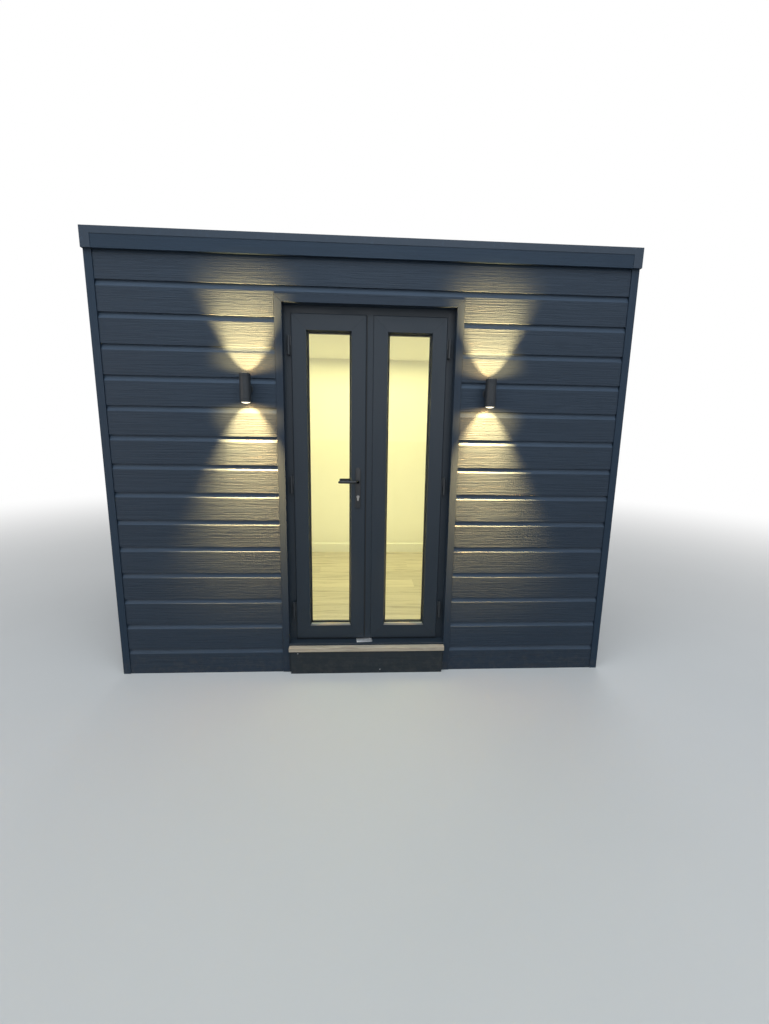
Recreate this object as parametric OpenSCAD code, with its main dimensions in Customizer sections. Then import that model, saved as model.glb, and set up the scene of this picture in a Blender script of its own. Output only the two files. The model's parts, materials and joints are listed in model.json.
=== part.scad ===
// Garden office pod: a clad, insulated timber room with glazed double doors.
// Millimetres. Origin at the middle of the plan on the ground, front towards -Y, +Z up.

/* [Building] */
// Width over the corner trims
pod_w = 2980; // [2500:10:4200]
// Depth over the corner trims
pod_d = 2400; // [1800:10:3600]
// Height of the wall between the doorway and the roof
head_h = 63; // [40:1:300]
// Thickness of an insulated wall panel without its cladding
wall_t = 120; // [100:5:180]

/* [Floor] */
// Height of the floor joists, which stand on the ground
joist_h = 125; // [100:5:140]
// Thickness of a floor joist
joist_t = 47; // [38:1:60]
// Widest clear space between two joists
joist_space = 260; // [200:10:290]
// Thickness of the structural deck
deck_t = 22; // [18:1:25]
// Thickness of the laminate floor with its underlay
laminate_t = 12; // [8:1:16]
// Height of the skirting
skirting_h = 100; // [60:5:150]
// Thickness of the skirting
skirting_t = 15; // [10:1:20]
// Chamfer along the top of the skirting
skirting_chamfer = 6; // [2:1:9]

/* [Cladding] */
// Height that each board covers
board_cover = 161; // [120:1:200]
// Height of the lowest lap above the ground
first_lap = 161; // [100:1:180]
// Thickness of a board at its face
board_t = 20; // [16:1:28]
// Height of the hollow bevel along the top of a board
bevel_h = 32; // [12:1:40]
// Depth of that bevel at the lap
bevel_d = 11; // [6:1:14]
// Hollow of the bevel in its middle
bevel_hollow = 1.5; // [0.5:0.25:3]
// How far the corner and door trims stand out from the boards
trim_proud = 4; // [1:1:10]
// Width of a corner trim on each of its two faces
corner_trim_w = 42; // [34:1:70]
// Open joint between the end of a board and a trim
board_joint = 1.5; // [0.5:0.5:4]

/* [Roof] */
// Height of the roof from the wall tops to the top of the front edge
roof_h = 258; // [200:2:300]
// Fall of the roof from front to back
roof_fall = 40; // [20:5:60]
// Thickness of the roof membrane
membrane_t = 4; // [2:1:6]
// Thickness of the ceiling board
ceiling_t = 12; // [9:1:18]
// Height of the fascia
fascia_h = 104; // [80:1:150]
// Thickness of a fascia board
fascia_t = 16; // [12:1:30]
// Height of the roof edge trim on the face of the fascia
edge_trim_h = 28; // [20:1:40]
// Width of the roof edge trim on top of the roof
edge_trim_w = 78; // [64:1:110]
// Thickness of the edge trims and of the fascia corner caps
edge_trim_t = 2; // [1.5:0.5:4]
// How far the drip edge at the back kicks out
drip_out = 8; // [4:1:14]
// Height of the kerb that the edge trims form over the membrane at the front
kerb_h = 8; // [6:1:12]
// Width of a fascia corner cap on each of its two faces
corner_cap_w = 50; // [40:1:80]

/* [Doorway] */
// Width of the door trims on the face of the wall
door_trim_w = 40; // [30:1:60]
// Visible width of the door frame beside the leaves
frame_side = 42; // [36:1:60]
// Visible height of the door frame over the leaves
frame_top = 44; // [36:1:60]
// Visible height of the door frame under the leaves
frame_foot_h = 31; // [28:1:50]
// How far the nose of the frame's foot stands out over the sill
foot_nose_out = 59; // [40:1:62]
// Height of the front of that nose
foot_nose_h = 12; // [8:1:14]
// Rise of its sloping top towards the frame
foot_nose_rise = 7; // [2:1:8]
// Depth of the door frame through the wall
frame_d = 70; // [60:1:80]
// Thickness of the trim that lines the sides of the doorway
reveal_t = 9; // [6:1:14]
// Depth of the leaf faces behind the trim faces
leaf_recess = 45; // [36:1:48]
// Thickness of the sill board
sill_t = 25; // [18:1:32]
// How far the sill board stands out from the trim faces
sill_out = 30; // [28:1:60]
// Radius of the sill's rounded nosing
sill_nose_r = 3; // [2:1:6]
// How far the riser stands out from the trim faces
riser_out = 25; // [10:1:27]
// Space between the riser's front board and the trim on each side
riser_space = 11; // [5:1:30]

/* [Door leaves] */
// Width of a leaf over its flange
leaf_w = 420; // [380:1:480]
// Height of a leaf over its flange
leaf_h = 1923; // [1850:1:1930]
// Space between the flanges of the two leaves
meeting_space = 38; // [32:1:50]
// Thickness of a leaf's flange, which laps over the frame
flange_t = 13; // [10:1:16]
// Depth of a leaf's body behind its flange
sash_d = 63; // [54:1:68]
// Lap of a flange over the frame
flange_lap = 12; // [8:1:16]
// Lap of a flange past the leaf's body on the meeting side
meeting_lap = 27; // [24:1:34]
// Width of a leaf's stiles, seen from the front
stile_w = 92; // [80:1:110]
// Height of a leaf's top rail
top_rail_h = 96; // [80:1:120]
// Height of a leaf's bottom rail
bottom_rail_h = 92; // [80:1:160]
// Chamfer round the front of a leaf
leaf_chamfer = 4; // [2:0.5:8]
// Width of the bevel round the glass
glass_bevel = 9; // [4:1:12]
// Thickness of the sealed glass unit
glass_t = 28; // [20:1:32]
// Depth to which the glass unit sits behind the sash
glass_hold = 14; // [10:1:18]
// Gap between the cover strip on the right leaf and the left flange
strip_gap = 6; // [6:0.5:9]
// Depth of the cover strip's face behind the leaf faces
strip_recess = 7; // [4:1:9]
// Depth of the cover strip
strip_d = 36; // [24:1:44]

/* [Clearances] */
// Clearance between a leaf's flange and the face of the frame
flange_clear = 5; // [5:0.5:7]
// Clearance between a leaf's body and the frame
sash_clear = 12; // [10:1:14]
// Clearance round the edge of a glass unit
glass_clear = 3; // [2:0.5:5]
// Gap between a moving piece and the seat it turns on
seat_gap = 0.3; // [0.2:0.1:0.5]
// Hairline gap between trims that meet at a corner
mitre_gap = 0.5; // [0.3:0.1:1]

/* [Hinges] */
// Height of a hinge
hinge_h = 100; // [80:2:130]
// Radius of a hinge's knuckles
knuckle_r = 8; // [6:0.5:9]
// Radius of a hinge pin
hinge_pin_r = 4; // [3:0.25:4.5]
// Thickness of a hinge's plate on the edge of the flange
hinge_plate_t = 3; // [2:0.5:4]
// Distance of the hinge axis in front of the leaf face
hinge_fore = 2; // [0:0.5:4]
// Distance of the hinge axis from the edge of the flange
hinge_out = 15; // [14:1:18]
// Height of the lowest hinge's middle above the foot of the leaf
hinge_low = 187; // [120:1:300]
// Height of the topmost hinge's middle below the top of the leaf
hinge_top = 171; // [120:1:300]

/* [Handle] */
// Height of the lever's axis above the foot of the leaf
lever_up = 991; // [800:1:1100]
// Distance of the lever's axis from the meeting edge of the left flange
lever_in = 43; // [36:1:52]
// Length of the lever from its axis to its tip
lever_len = 116; // [90:1:140]
// Radius of the lever's neck
lever_neck_r = 8; // [6:0.5:10]
// Height of the lever's arm at its neck
lever_arm_h = 18; // [15:1:24]
// Height of the lever's arm at its tip
lever_tip_h = 15; // [12:1:18]
// Thickness of the lever's arm
lever_arm_t = 11; // [8:1:14]
// Distance of the lever's arm from the handle plate
lever_out = 36; // [30:1:50]
// Width of a handle plate
plate_w = 29; // [26:1:34]
// Thickness of a handle plate
plate_t = 9; // [6:1:12]
// Height of a handle plate above the lever's axis
plate_up = 84; // [60:1:110]
// Height of a handle plate below the lever's axis
plate_down = 159; // [130:1:180]
// Distance of the lock cylinder below the lever's axis
cylinder_down = 89; // [72:1:100]
// Radius of the lock cylinder's round end
cylinder_r = 8.5; // [7:0.5:10]

/* [Wall lights] */
// Distance of a light's axis from the edge of the door trims
light_side = 154; // [100:1:250]
// Height of the middle of the lights above the ground
light_z = 1710; // [1690:1:1710]
// Radius of a light
light_r = 30; // [24:1:40]
// Length of a light
light_len = 152; // [130:1:240]
// Thickness of the wall of a light's body
light_wall = 3; // [2:0.5:5]
// Depth of a lens's edge below the rim of its light
lens_depth = 2; // [1:1:8]
// Distance of the turned groove from each end of a light
light_groove = 16; // [10:1:24]
// Thickness of a lens at its edge
lens_t = 6; // [3:1:8]
// Rise of a lens's dome above its edge
lens_rise = 8; // [4:1:12]
// Distance of a light's body from the boards
light_out = 30; // [20:1:45]
// Radius of a light's wall plate
light_plate_r = 28; // [20:1:32]
// Thickness of a light's wall plate
light_plate_t = 10; // [6:1:14]
// Chamfer round a light's wall plate
light_plate_edge = 2; // [1:0.5:4]
// Radius of the arm that carries a light
light_arm_r = 11; // [8:1:16]

/* [Hidden] */

$fn = 48;

// Colours as the photograph shows them
anthracite = [0.20, 0.23, 0.26];
dark_anthracite = [0.13, 0.15, 0.17];
inner_white = [0.93, 0.92, 0.88];
timber = [0.76, 0.62, 0.42];
laminate_grey = [0.66, 0.60, 0.52];
membrane_black = [0.10, 0.10, 0.11];
sill_beige = [0.66, 0.64, 0.58];
glass_blue = [0.75, 0.85, 0.88, 0.35];
lens_white = [1.0, 0.98, 0.9];
steel = [0.70, 0.71, 0.72];

// Plan: outer faces of the wall panels, and the room between them
trim_t = board_t + trim_proud;
panel_x = pod_w / 2 - trim_t;
panel_y = pod_d / 2 - trim_t;
room_x = panel_x - wall_t;
room_y = panel_y - wall_t;
front_y = -pod_d / 2;

// Levels of the floor
deck_top = joist_h + deck_t;
floor_z = deck_top + laminate_t;
sill_top = deck_top + sill_t;

// Outer faces of the fascia and of the trims on it. At the sides it is flush with the corner trims.
fascia_x = pod_w / 2;
fascia_y = pod_d / 2 + fascia_t;
trim_face_x = fascia_x + edge_trim_t;
trim_face_y = fascia_y + edge_trim_t;

// Doorway, from the middle outwards and from the sill upwards
leaf_half = meeting_space / 2 + leaf_w;
trim_in = leaf_half + frame_side;
trim_out = trim_in + door_trim_w;
doorway_x = trim_in + reveal_t;
leaf_z = sill_top + frame_foot_h;
leaf_top = leaf_z + leaf_h;
trim_in_z = leaf_top + frame_top;
trim_out_z = trim_in_z + door_trim_w;
doorway_z = trim_in_z + reveal_t;

// Levels of the ceiling and the roof
wall_top = doorway_z + head_h;
pod_h = wall_top + roof_h;
ceiling_z = wall_top - ceiling_t;
fascia_z = pod_h - fascia_h;
fascia_top = pod_h - kerb_h;
leg_z = fascia_top - edge_trim_h;
roof_front_z = fascia_top - membrane_t;
roof_back_z = roof_front_z - roof_fall;
cladding_top = roof_back_z;
drip_z = roof_back_z - edge_trim_h;

// Doorway, from the front inwards
leaf_y = front_y + leaf_recess;
flange_back = leaf_y + flange_t;
frame_y = flange_back + flange_clear;
sash_back = flange_back + sash_d;

// Leaf body, measured from the middle of the doorway
sash_outer = leaf_half - flange_lap - sash_clear;
sash_inner = meeting_space / 2 + meeting_lap;
sash_z = leaf_z + flange_lap + sash_clear;
sash_top = leaf_top - flange_lap - sash_clear;

// Glass opening and glass unit
sight_outer = leaf_half - stile_w;
sight_inner = meeting_space / 2 + stile_w;
sight_z = leaf_z + bottom_rail_h;
sight_top = leaf_top - top_rail_h;
glass_y = flange_back + glass_bevel;

// Hinge axis, measured from the middle of the doorway
hinge_x = leaf_half + hinge_out;
hinge_y = leaf_y - hinge_fore;
hinge_z = [
  leaf_z + hinge_low,
  (leaf_z + hinge_low + leaf_top - hinge_top) / 2,
  leaf_top - hinge_top
];

// Handle on the left leaf
lever_x = -meeting_space / 2 - lever_in;
lever_z = leaf_z + lever_up;

// Wall lights
light_x = trim_out + light_side;
board_face_y = front_y + trim_proud;
light_y = board_face_y - light_out - light_r;

// Least strip of face that the last board keeps over its lap
top_strip = 5;

// A box between two opposite corners
module block(low, high) {
  translate(low) cube(high - low);
}

// The given shape and its mirror image on the other side of the middle
module both_sides() {
  children();
  mirror([1, 0, 0]) children();
}

// An outline of [y, z] points, extruded along X
module along_x(points, x0, x1) {
  translate([x0, 0, 0])
    rotate([90, 0, 90])
      linear_extrude(x1 - x0) polygon(points);
}

// An outline of [x, z] points, extruded along Y
module along_y(points, y0, y1) {
  translate([0, y1, 0])
    rotate([90, 0, 0])
      linear_extrude(y1 - y0) polygon(points);
}

// An outline of [x, y] points, extruded along Z
module along_z(points, z0, z1) {
  translate([0, 0, z0])
    linear_extrude(z1 - z0) polygon(points);
}

// Points of the hollow bevel that ends at a lap: [distance from the panel, height]
function bevel_points(lap, steps = 4) = [
  for (i = [0 : steps])
    let (t = i / steps, hollow = bevel_hollow * sin(180 * t))
      [board_t - bevel_d * t - hollow, lap - bevel_h * (1 - t)]
];

// Face of the lapped boards from the ground to the given top: [distance from the panel, height]
function board_faces(top) = [
  [board_t, 0],
  for (lap = [first_lap : board_cover : top - top_strip])
    each concat(bevel_points(lap), [[board_t, lap]]),
  [board_t, top]
];

// One wall of lapped boards on a panel face at y = 0 that looks towards -Y, from x0 to x1
module boards(x0, x1, top = cladding_top) {
  outline = concat([for (p = board_faces(top)) [-p[0], p[1]]], [[0, top], [0, 0]]);
  along_x(outline, x0, x1);
}

// Base and floor
module rim_joists() {
  color(timber)
    for (side = [-1, 1])
      translate([0, side * (panel_y - joist_t / 2), joist_h / 2])
        cube([2 * panel_x, joist_t, joist_h], center = true);
}

module floor_joists() {
  spaces = ceil((2 * panel_x - joist_t) / (joist_space + joist_t) / 2) * 2;
  pitch = (2 * panel_x - joist_t) / spaces;
  color(timber)
    for (i = [0 : spaces])
      translate([-panel_x + joist_t / 2 + i * pitch, 0, joist_h / 2])
        cube([joist_t, 2 * (panel_y - joist_t), joist_h], center = true);
}

module floor_deck() {
  color(timber)
    block([-panel_x, -panel_y, joist_h], [panel_x, panel_y, deck_top]);
}

module laminate_floor() {
  color(laminate_grey) {
    block([-room_x, -room_y, deck_top], [room_x, room_y, floor_z]);
    block([-doorway_x, frame_y + frame_d, deck_top], [doorway_x, -room_y, floor_z]);
  }
}

// A length of skirting on a wall face at y = 0 that looks towards -Y, from x0 to x1
module skirting_board(x0, x1) {
  top_z = floor_z + skirting_h;
  along_x([
    [0, floor_z], [0, top_z], [-skirting_t + skirting_chamfer, top_z],
    [-skirting_t, top_z - skirting_chamfer], [-skirting_t, floor_z]
  ], x0, x1);
}

module skirting() {
  corner = skirting_t + mitre_gap;
  color(inner_white) {
    translate([0, room_y, 0]) skirting_board(-room_x, room_x);
    both_sides() {
      translate([-room_x, 0, 0]) rotate([0, 0, 90])
        skirting_board(-room_y + corner, room_y - corner);
      translate([0, -room_y, 0]) rotate([0, 0, 180])
        skirting_board(doorway_x + door_trim_w, room_x);
    }
  }
}

// Wall panels
module left_wall() {
  color(inner_white)
    block([-panel_x, -room_y, deck_top], [-room_x, room_y, wall_top]);
}

module right_wall() {
  mirror([1, 0, 0]) left_wall();
}

module back_wall() {
  color(inner_white)
    block([-panel_x, room_y, deck_top], [panel_x, panel_y, wall_top]);
}

module front_wall_left() {
  color(inner_white)
    block([-panel_x, -panel_y, deck_top], [-doorway_x, -room_y, wall_top]);
}

module front_wall_right() {
  mirror([1, 0, 0]) front_wall_left();
}

module front_wall_head() {
  color(inner_white)
    block([-doorway_x, -panel_y, doorway_z], [doorway_x, -room_y, wall_top]);
}

// Cladding
module left_cladding() {
  reach = pod_d / 2 - corner_trim_w - board_joint;
  color(anthracite)
    translate([-panel_x, 0, 0]) rotate([0, 0, -90]) boards(-reach, reach, fascia_z);
}

module right_cladding() {
  mirror([1, 0, 0]) left_cladding();
}

module back_cladding() {
  reach = pod_w / 2 - corner_trim_w - board_joint;
  color(anthracite)
    translate([0, panel_y, 0]) rotate([0, 0, 180]) boards(-reach, reach);
}

module front_cladding_left() {
  color(anthracite)
    translate([0, -panel_y, 0])
      boards(-pod_w / 2 + corner_trim_w + board_joint, -trim_out - board_joint);
}

module front_cladding_right() {
  mirror([1, 0, 0]) front_cladding_left();
}

module front_cladding_head() {
  half = trim_out + board_joint;
  color(anthracite)
    intersection() {
      translate([0, -panel_y, 0]) boards(-half, half);
      block([-half, front_y, trim_out_z + board_joint], [half, -panel_y, cladding_top]);
    }
}

module corner_trims() {
  outer_x = pod_w / 2;
  outer_y = pod_d / 2;
  angle_outline = [
    [-outer_x, -outer_y], [-outer_x + corner_trim_w, -outer_y],
    [-outer_x + corner_trim_w, -panel_y], [-panel_x, -panel_y],
    [-panel_x, -outer_y + corner_trim_w], [-outer_x, -outer_y + corner_trim_w]
  ];
  color(dark_anthracite)
    both_sides()
      for (back = [0, 1])
        mirror([0, back, 0]) along_z(angle_outline, 0, fascia_z);
}

// Roof
module roof_panel() {
  color(inner_white)
    along_x([
      [-panel_y, wall_top], [panel_y, wall_top], [panel_y, roof_back_z], [-panel_y, roof_front_z]
    ], -panel_x, panel_x);
}

module roof_membrane() {
  color(membrane_black)
    along_x([
      [-panel_y, roof_front_z], [panel_y, roof_back_z], [trim_face_y, roof_back_z],
      [trim_face_y, roof_back_z + membrane_t], [-panel_y, roof_front_z + membrane_t]
    ], -panel_x, panel_x);
}

module ceiling() {
  color(inner_white)
    block([-room_x, -room_y, ceiling_z], [room_x, room_y, wall_top]);
}

module fascia_boards() {
  color(anthracite) {
    block([-fascia_x, -fascia_y, fascia_z], [fascia_x, -pod_d / 2, fascia_top]);
    block([-panel_x + mitre_gap, pod_d / 2, fascia_z],
          [panel_x - mitre_gap, fascia_y, roof_back_z]);
    both_sides()
      block([-fascia_x, -pod_d / 2 + mitre_gap, fascia_z], [-panel_x, fascia_y, fascia_top]);
  }
}

module fascia_corners() {
  cap_outline = [
    [-trim_face_x, -trim_face_y], [-trim_face_x + corner_cap_w, -trim_face_y],
    [-trim_face_x + corner_cap_w, -fascia_y], [-fascia_x, -fascia_y],
    [-fascia_x, -trim_face_y + corner_cap_w], [-trim_face_x, -trim_face_y + corner_cap_w]
  ];
  color(dark_anthracite)
    both_sides() {
      along_z(cap_outline, fascia_z, leg_z);
      mirror([0, 1, 0]) along_z(cap_outline, fascia_z, drip_z - edge_trim_t);
      block([-trim_face_x, trim_face_y - corner_cap_w, fascia_z], [-fascia_x, trim_face_y, leg_z]);
    }
}

// Edge trims with a leg on the fascia. The side ones close the wedge over the falling membrane,
// and the back one is a drip edge under the membrane's end.
module roof_edge_trims() {
  inner_x = trim_face_x - edge_trim_w;
  inner_y = trim_face_y - edge_trim_w;
  membrane_fall = roof_fall / (panel_y + trim_face_y);
  side_start = -inner_y + mitre_gap;
  side_start_z = fascia_top + seat_gap - membrane_fall * (side_start + panel_y);
  side_end_z = roof_back_z + membrane_t + seat_gap;
  color(dark_anthracite) {
    along_x([
      [-trim_face_y, leg_z], [-fascia_y, leg_z], [-fascia_y, fascia_top],
      [-inner_y, fascia_top], [-inner_y, pod_h], [-trim_face_y, pod_h]
    ], -trim_face_x, trim_face_x);
    both_sides() {
      along_y([
        [-trim_face_x, leg_z], [-fascia_x, leg_z], [-fascia_x, fascia_top],
        [-inner_x, fascia_top], [-inner_x, pod_h], [-trim_face_x, pod_h]
      ], side_start, trim_face_y);
      along_x([
        [side_start, side_start_z], [trim_face_y, side_end_z],
        [trim_face_y, fascia_top], [side_start, fascia_top]
      ], -panel_x, -inner_x);
    }
    along_x([
      [fascia_y, drip_z], [fascia_y + drip_out, drip_z - drip_out],
      [fascia_y + drip_out, drip_z - drip_out + edge_trim_t],
      [trim_face_y, drip_z + edge_trim_t], [trim_face_y, roof_back_z], [fascia_y, roof_back_z]
    ], -fascia_x, fascia_x);
  }
}

// Doorway
module door_trims() {
  color(dark_anthracite) {
    both_sides() {
      along_y([
        [-trim_out, 0], [-trim_in, 0], [-trim_in, trim_in_z], [-trim_out, trim_out_z]
      ], front_y, -panel_y);
      along_y([
        [-doorway_x, deck_top], [-trim_in, deck_top], [-trim_in, trim_in_z], [-doorway_x, doorway_z]
      ], -panel_y, frame_y);
    }
    along_y([
      [-trim_in + mitre_gap, trim_in_z], [trim_in - mitre_gap, trim_in_z],
      [trim_out - mitre_gap, trim_out_z], [-trim_out + mitre_gap, trim_out_z]
    ], front_y, -panel_y);
    along_y([
      [-trim_in + mitre_gap, trim_in_z], [trim_in - mitre_gap, trim_in_z],
      [doorway_x - mitre_gap, doorway_z], [-doorway_x + mitre_gap, doorway_z]
    ], -panel_y, frame_y);
  }
}

// A backing board between the trims, with a front board on it
module door_riser() {
  half = trim_in - mitre_gap;
  front_half = trim_in - riser_space;
  color(anthracite) {
    block([-half, front_y, 0], [half, -panel_y, deck_top]);
    block([-front_half, front_y - riser_out, 0], [front_half, -panel_y, deck_top]);
  }
}

module door_sill() {
  half = trim_in - mitre_gap;
  nose_y = front_y - sill_out;
  nosing = [
    for (turn = [180 : -15 : 90])
      [nose_y + sill_nose_r * (1 + cos(turn)), sill_top - sill_nose_r * (1 - sin(turn))]
  ];
  color(sill_beige)
    along_x(concat([[frame_y + frame_d, deck_top], [nose_y, deck_top]], nosing,
                   [[frame_y + frame_d, sill_top]]), -half, half);
}

module frame_jambs() {
  color(anthracite)
    both_sides()
      block([-doorway_x, frame_y, sill_top],
            [-leaf_half + flange_lap, frame_y + frame_d, doorway_z]);
}

module frame_head() {
  half = leaf_half - flange_lap;
  color(anthracite)
    block([-half, frame_y, leaf_top - flange_lap], [half, frame_y + frame_d, doorway_z]);
}

// The foot of the frame, with a sloping nose that runs from trim to trim over the sill
module frame_foot() {
  half = leaf_half - flange_lap;
  nose_half = trim_in - mitre_gap;
  nose_y = frame_y - foot_nose_out;
  nose_z = sill_top + foot_nose_h;
  nose = [
    [frame_y, sill_top], [nose_y, sill_top], [nose_y, nose_z - 1], [nose_y + 1, nose_z],
    [frame_y, nose_z + foot_nose_rise]
  ];
  back_y = frame_y + frame_d;
  top_z = leaf_z + flange_lap;
  color(anthracite) {
    along_x(nose, -nose_half, nose_half);
    along_x(concat([[back_y, sill_top]], [for (i = [1 : 4]) nose[i]],
                   [[frame_y, top_z], [back_y, top_z]]), -half, half);
  }
}

// The frame's half of the hinges: lower knuckle, pin and leg to the frame
module frame_hinges() {
  leg_half = 0.7 * knuckle_r;
  color(dark_anthracite)
    both_sides()
      for (z = hinge_z)
        translate([-hinge_x, hinge_y, z]) {
          translate([0, 0, -hinge_h / 2]) cylinder(r = knuckle_r, h = hinge_h / 2);
          translate([0, 0, -1]) cylinder(r = hinge_pin_r, h = hinge_h / 2);
          block([-leg_half, 0, -hinge_h / 2], [leg_half, frame_y - hinge_y, 0]);
        }
}

// Wall lights
module light_brackets() {
  color(dark_anthracite)
    both_sides()
      translate([-light_x, board_face_y, light_z])
        rotate([90, 0, 0]) {
          cylinder(r = light_plate_r, h = light_plate_t - light_plate_edge);
          translate([0, 0, light_plate_t - light_plate_edge])
            cylinder(r1 = light_plate_r, r2 = light_plate_r - light_plate_edge, h = light_plate_edge);
          cylinder(r = light_arm_r, h = light_out + light_wall);
        }
}

module light_bodies() {
  half = light_len / 2;
  recess = half - lens_depth - lens_t;
  bore_r = light_r - light_wall;
  rim = light_wall / 2;
  groove_z = half - light_groove;
  upper_half = [
    [light_r, groove_z - rim], [light_r - rim, groove_z], [light_r, groove_z + rim],
    [light_r, half - rim], [light_r - rim, half], [bore_r, half], [bore_r, recess], [0, recess]
  ];
  lower_half = [for (i = [len(upper_half) - 1 : -1 : 0]) [upper_half[i][0], -upper_half[i][1]]];
  color(dark_anthracite)
    both_sides()
      difference() {
        translate([-light_x, light_y, light_z])
          rotate_extrude() polygon(concat(upper_half, lower_half));
        translate([-light_x, board_face_y, light_z])
          rotate([90, 0, 0]) cylinder(r = light_arm_r + seat_gap, h = light_out + light_wall);
      }
}

// Each lens is a disc with a domed face that looks out of its end of the light
module light_lenses() {
  lens_r = light_r - light_wall - seat_gap;
  dome_r = (lens_r * lens_r + lens_rise * lens_rise) / (2 * lens_rise);
  base = light_len / 2 - lens_depth - lens_t;
  dome = [
    for (r = [lens_r : -lens_r / 3 : 0.01])
      [r, base + lens_t + lens_rise - dome_r + sqrt(dome_r * dome_r - r * r)]
  ];
  color(lens_white)
    both_sides()
      translate([-light_x, light_y, light_z])
        for (end = [0, 1])
          mirror([0, 0, end])
            rotate_extrude()
              polygon(concat([[0, base], [lens_r, base]], dome, [[0, base + lens_t + lens_rise]]));
}

// An upright plate from front y0 to back y1 with its front edges chamfered
module chamfered_plate(x0, x1, y0, y1, z0, z1, chamfer) {
  intersection() {
    along_z([
      [x0, y1], [x0, y0 + chamfer], [x0 + chamfer, y0],
      [x1 - chamfer, y0], [x1, y0 + chamfer], [x1, y1]
    ], z0, z1);
    along_x([
      [y1, z0], [y0 + chamfer, z0], [y0, z0 + chamfer],
      [y0, z1 - chamfer], [y0 + chamfer, z1], [y1, z1]
    ], x0, x1);
  }
}

// A leaf as it hangs on the left: flange, body, bevelled glass opening and rebate for the glass
module sash() {
  inner = meeting_space / 2;
  cut_y0 = leaf_y - 1;
  spread = glass_bevel * (glass_y - cut_y0) / (glass_y - leaf_y);
  hold = glass_hold + glass_clear;
  color(anthracite)
    difference() {
      union() {
        chamfered_plate(-leaf_half, -inner, leaf_y, flange_back, leaf_z, leaf_top, leaf_chamfer);
        block([-sash_outer, flange_back, sash_z], [-sash_inner, sash_back, sash_top]);
      }
      block([-sight_outer, cut_y0, sight_z], [-sight_inner, sash_back + 1, sight_top]);
      intersection() {
        along_z([
          [-sight_outer - spread, cut_y0], [-sight_inner + spread, cut_y0],
          [-sight_inner, glass_y], [-sight_outer, glass_y]
        ], leaf_z, leaf_top);
        along_x([
          [cut_y0, sight_z - spread], [cut_y0, sight_top + spread],
          [glass_y, sight_top], [glass_y, sight_z]
        ], -leaf_half, -inner);
      }
      block([-sight_outer - hold, glass_y, sight_z - hold],
            [-sight_inner + hold, sash_back + 1, sight_top + hold]);
    }
}

module glass_unit() {
  color(glass_blue)
    block([-sight_outer - glass_hold, glass_y, sight_z - glass_hold],
          [-sight_inner + glass_hold, glass_y + glass_t, sight_top + glass_hold]);
}

// The beads that hold the glass from inside
module glazing_beads() {
  hold = glass_hold + glass_clear;
  color(anthracite)
    difference() {
      block([-sight_outer - hold, glass_y + glass_t, sight_z - hold],
            [-sight_inner + hold, sash_back, sight_top + hold]);
      block([-sight_outer, glass_y, sight_z], [-sight_inner, sash_back + 1, sight_top]);
    }
}

// The leaf's half of the hinges: upper knuckle with its bore, arm, and plate on the flange's edge
module leaf_hinges() {
  plate_x = hinge_out - hinge_plate_t;
  plate_y0 = hinge_fore + leaf_chamfer;
  plate_y1 = hinge_fore + flange_t;
  arm_y1 = plate_y0 + hinge_plate_t;
  color(dark_anthracite)
    for (z = hinge_z)
      translate([-hinge_x, hinge_y, z])
        difference() {
          union() {
            translate([0, 0, seat_gap]) cylinder(r = knuckle_r, h = hinge_h / 2 - seat_gap);
            block([0, plate_y0, seat_gap], [hinge_out, arm_y1, hinge_h / 2]);
            block([plate_x, plate_y0, -hinge_h / 2], [hinge_out, plate_y1, hinge_h / 2]);
          }
          translate([0, 0, -1]) cylinder(r = hinge_pin_r + seat_gap, h = hinge_h / 2 + 2);
        }
}

module left_sash() {
  sash();
}

module left_glass() {
  glass_unit();
}

module left_beads() {
  glazing_beads();
}

module left_hinges() {
  leaf_hinges();
}

module right_sash() {
  mirror([1, 0, 0]) sash();
}

module right_glass() {
  mirror([1, 0, 0]) glass_unit();
}

module right_beads() {
  mirror([1, 0, 0]) glazing_beads();
}

module right_hinges() {
  mirror([1, 0, 0]) leaf_hinges();
}

// Point of the cover strip's free side at a given depth, on the arc of the right leaf's swing
function strip_point(y) = [
  hinge_x - sqrt(pow(hinge_x + meeting_space / 2 - strip_gap, 2) - pow(y - hinge_y, 2)), y
];

// Strip that covers the joint: a full-height nose beside the right flange and a deeper web behind
module cover_strip() {
  inner = meeting_space / 2;
  nose_y = leaf_y + strip_recess;
  web_y = nose_y + strip_d;
  color(dark_anthracite) {
    along_z([
      strip_point(nose_y), strip_point(flange_back), [inner, flange_back], [inner, nose_y]
    ], leaf_z, leaf_top);
    along_z([
      strip_point(flange_back), strip_point((flange_back + web_y) / 2), strip_point(web_y),
      [sash_inner, web_y], [sash_inner, flange_back]
    ], sash_z, sash_top);
  }
}

// An upright plate with round ends on the face at y = 0 that looks towards -Y
module round_ended_plate(width, below, above, thickness) {
  r = width / 2;
  rotate([90, 0, 0])
    linear_extrude(thickness)
      union() {
        translate([-r, -below + r]) square([width, below + above - width]);
        translate([0, above - r]) circle(r = r);
        translate([0, -below + r]) circle(r = r);
      }
}

module handle_plates() {
  color(dark_anthracite) {
    translate([lever_x, leaf_y, lever_z])
      round_ended_plate(plate_w, plate_down, plate_up, plate_t);
    translate([lever_x, sash_back + plate_t, lever_z])
      round_ended_plate(plate_w, plate_down, plate_up, plate_t);
  }
}

module lock_cylinder() {
  nose = 4;
  color(steel)
    for (y = [leaf_y - plate_t, sash_back + plate_t + nose])
      translate([lever_x, y, lever_z - cylinder_down])
        rotate([90, 0, 0]) cylinder(r = cylinder_r, h = nose);
}

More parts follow.
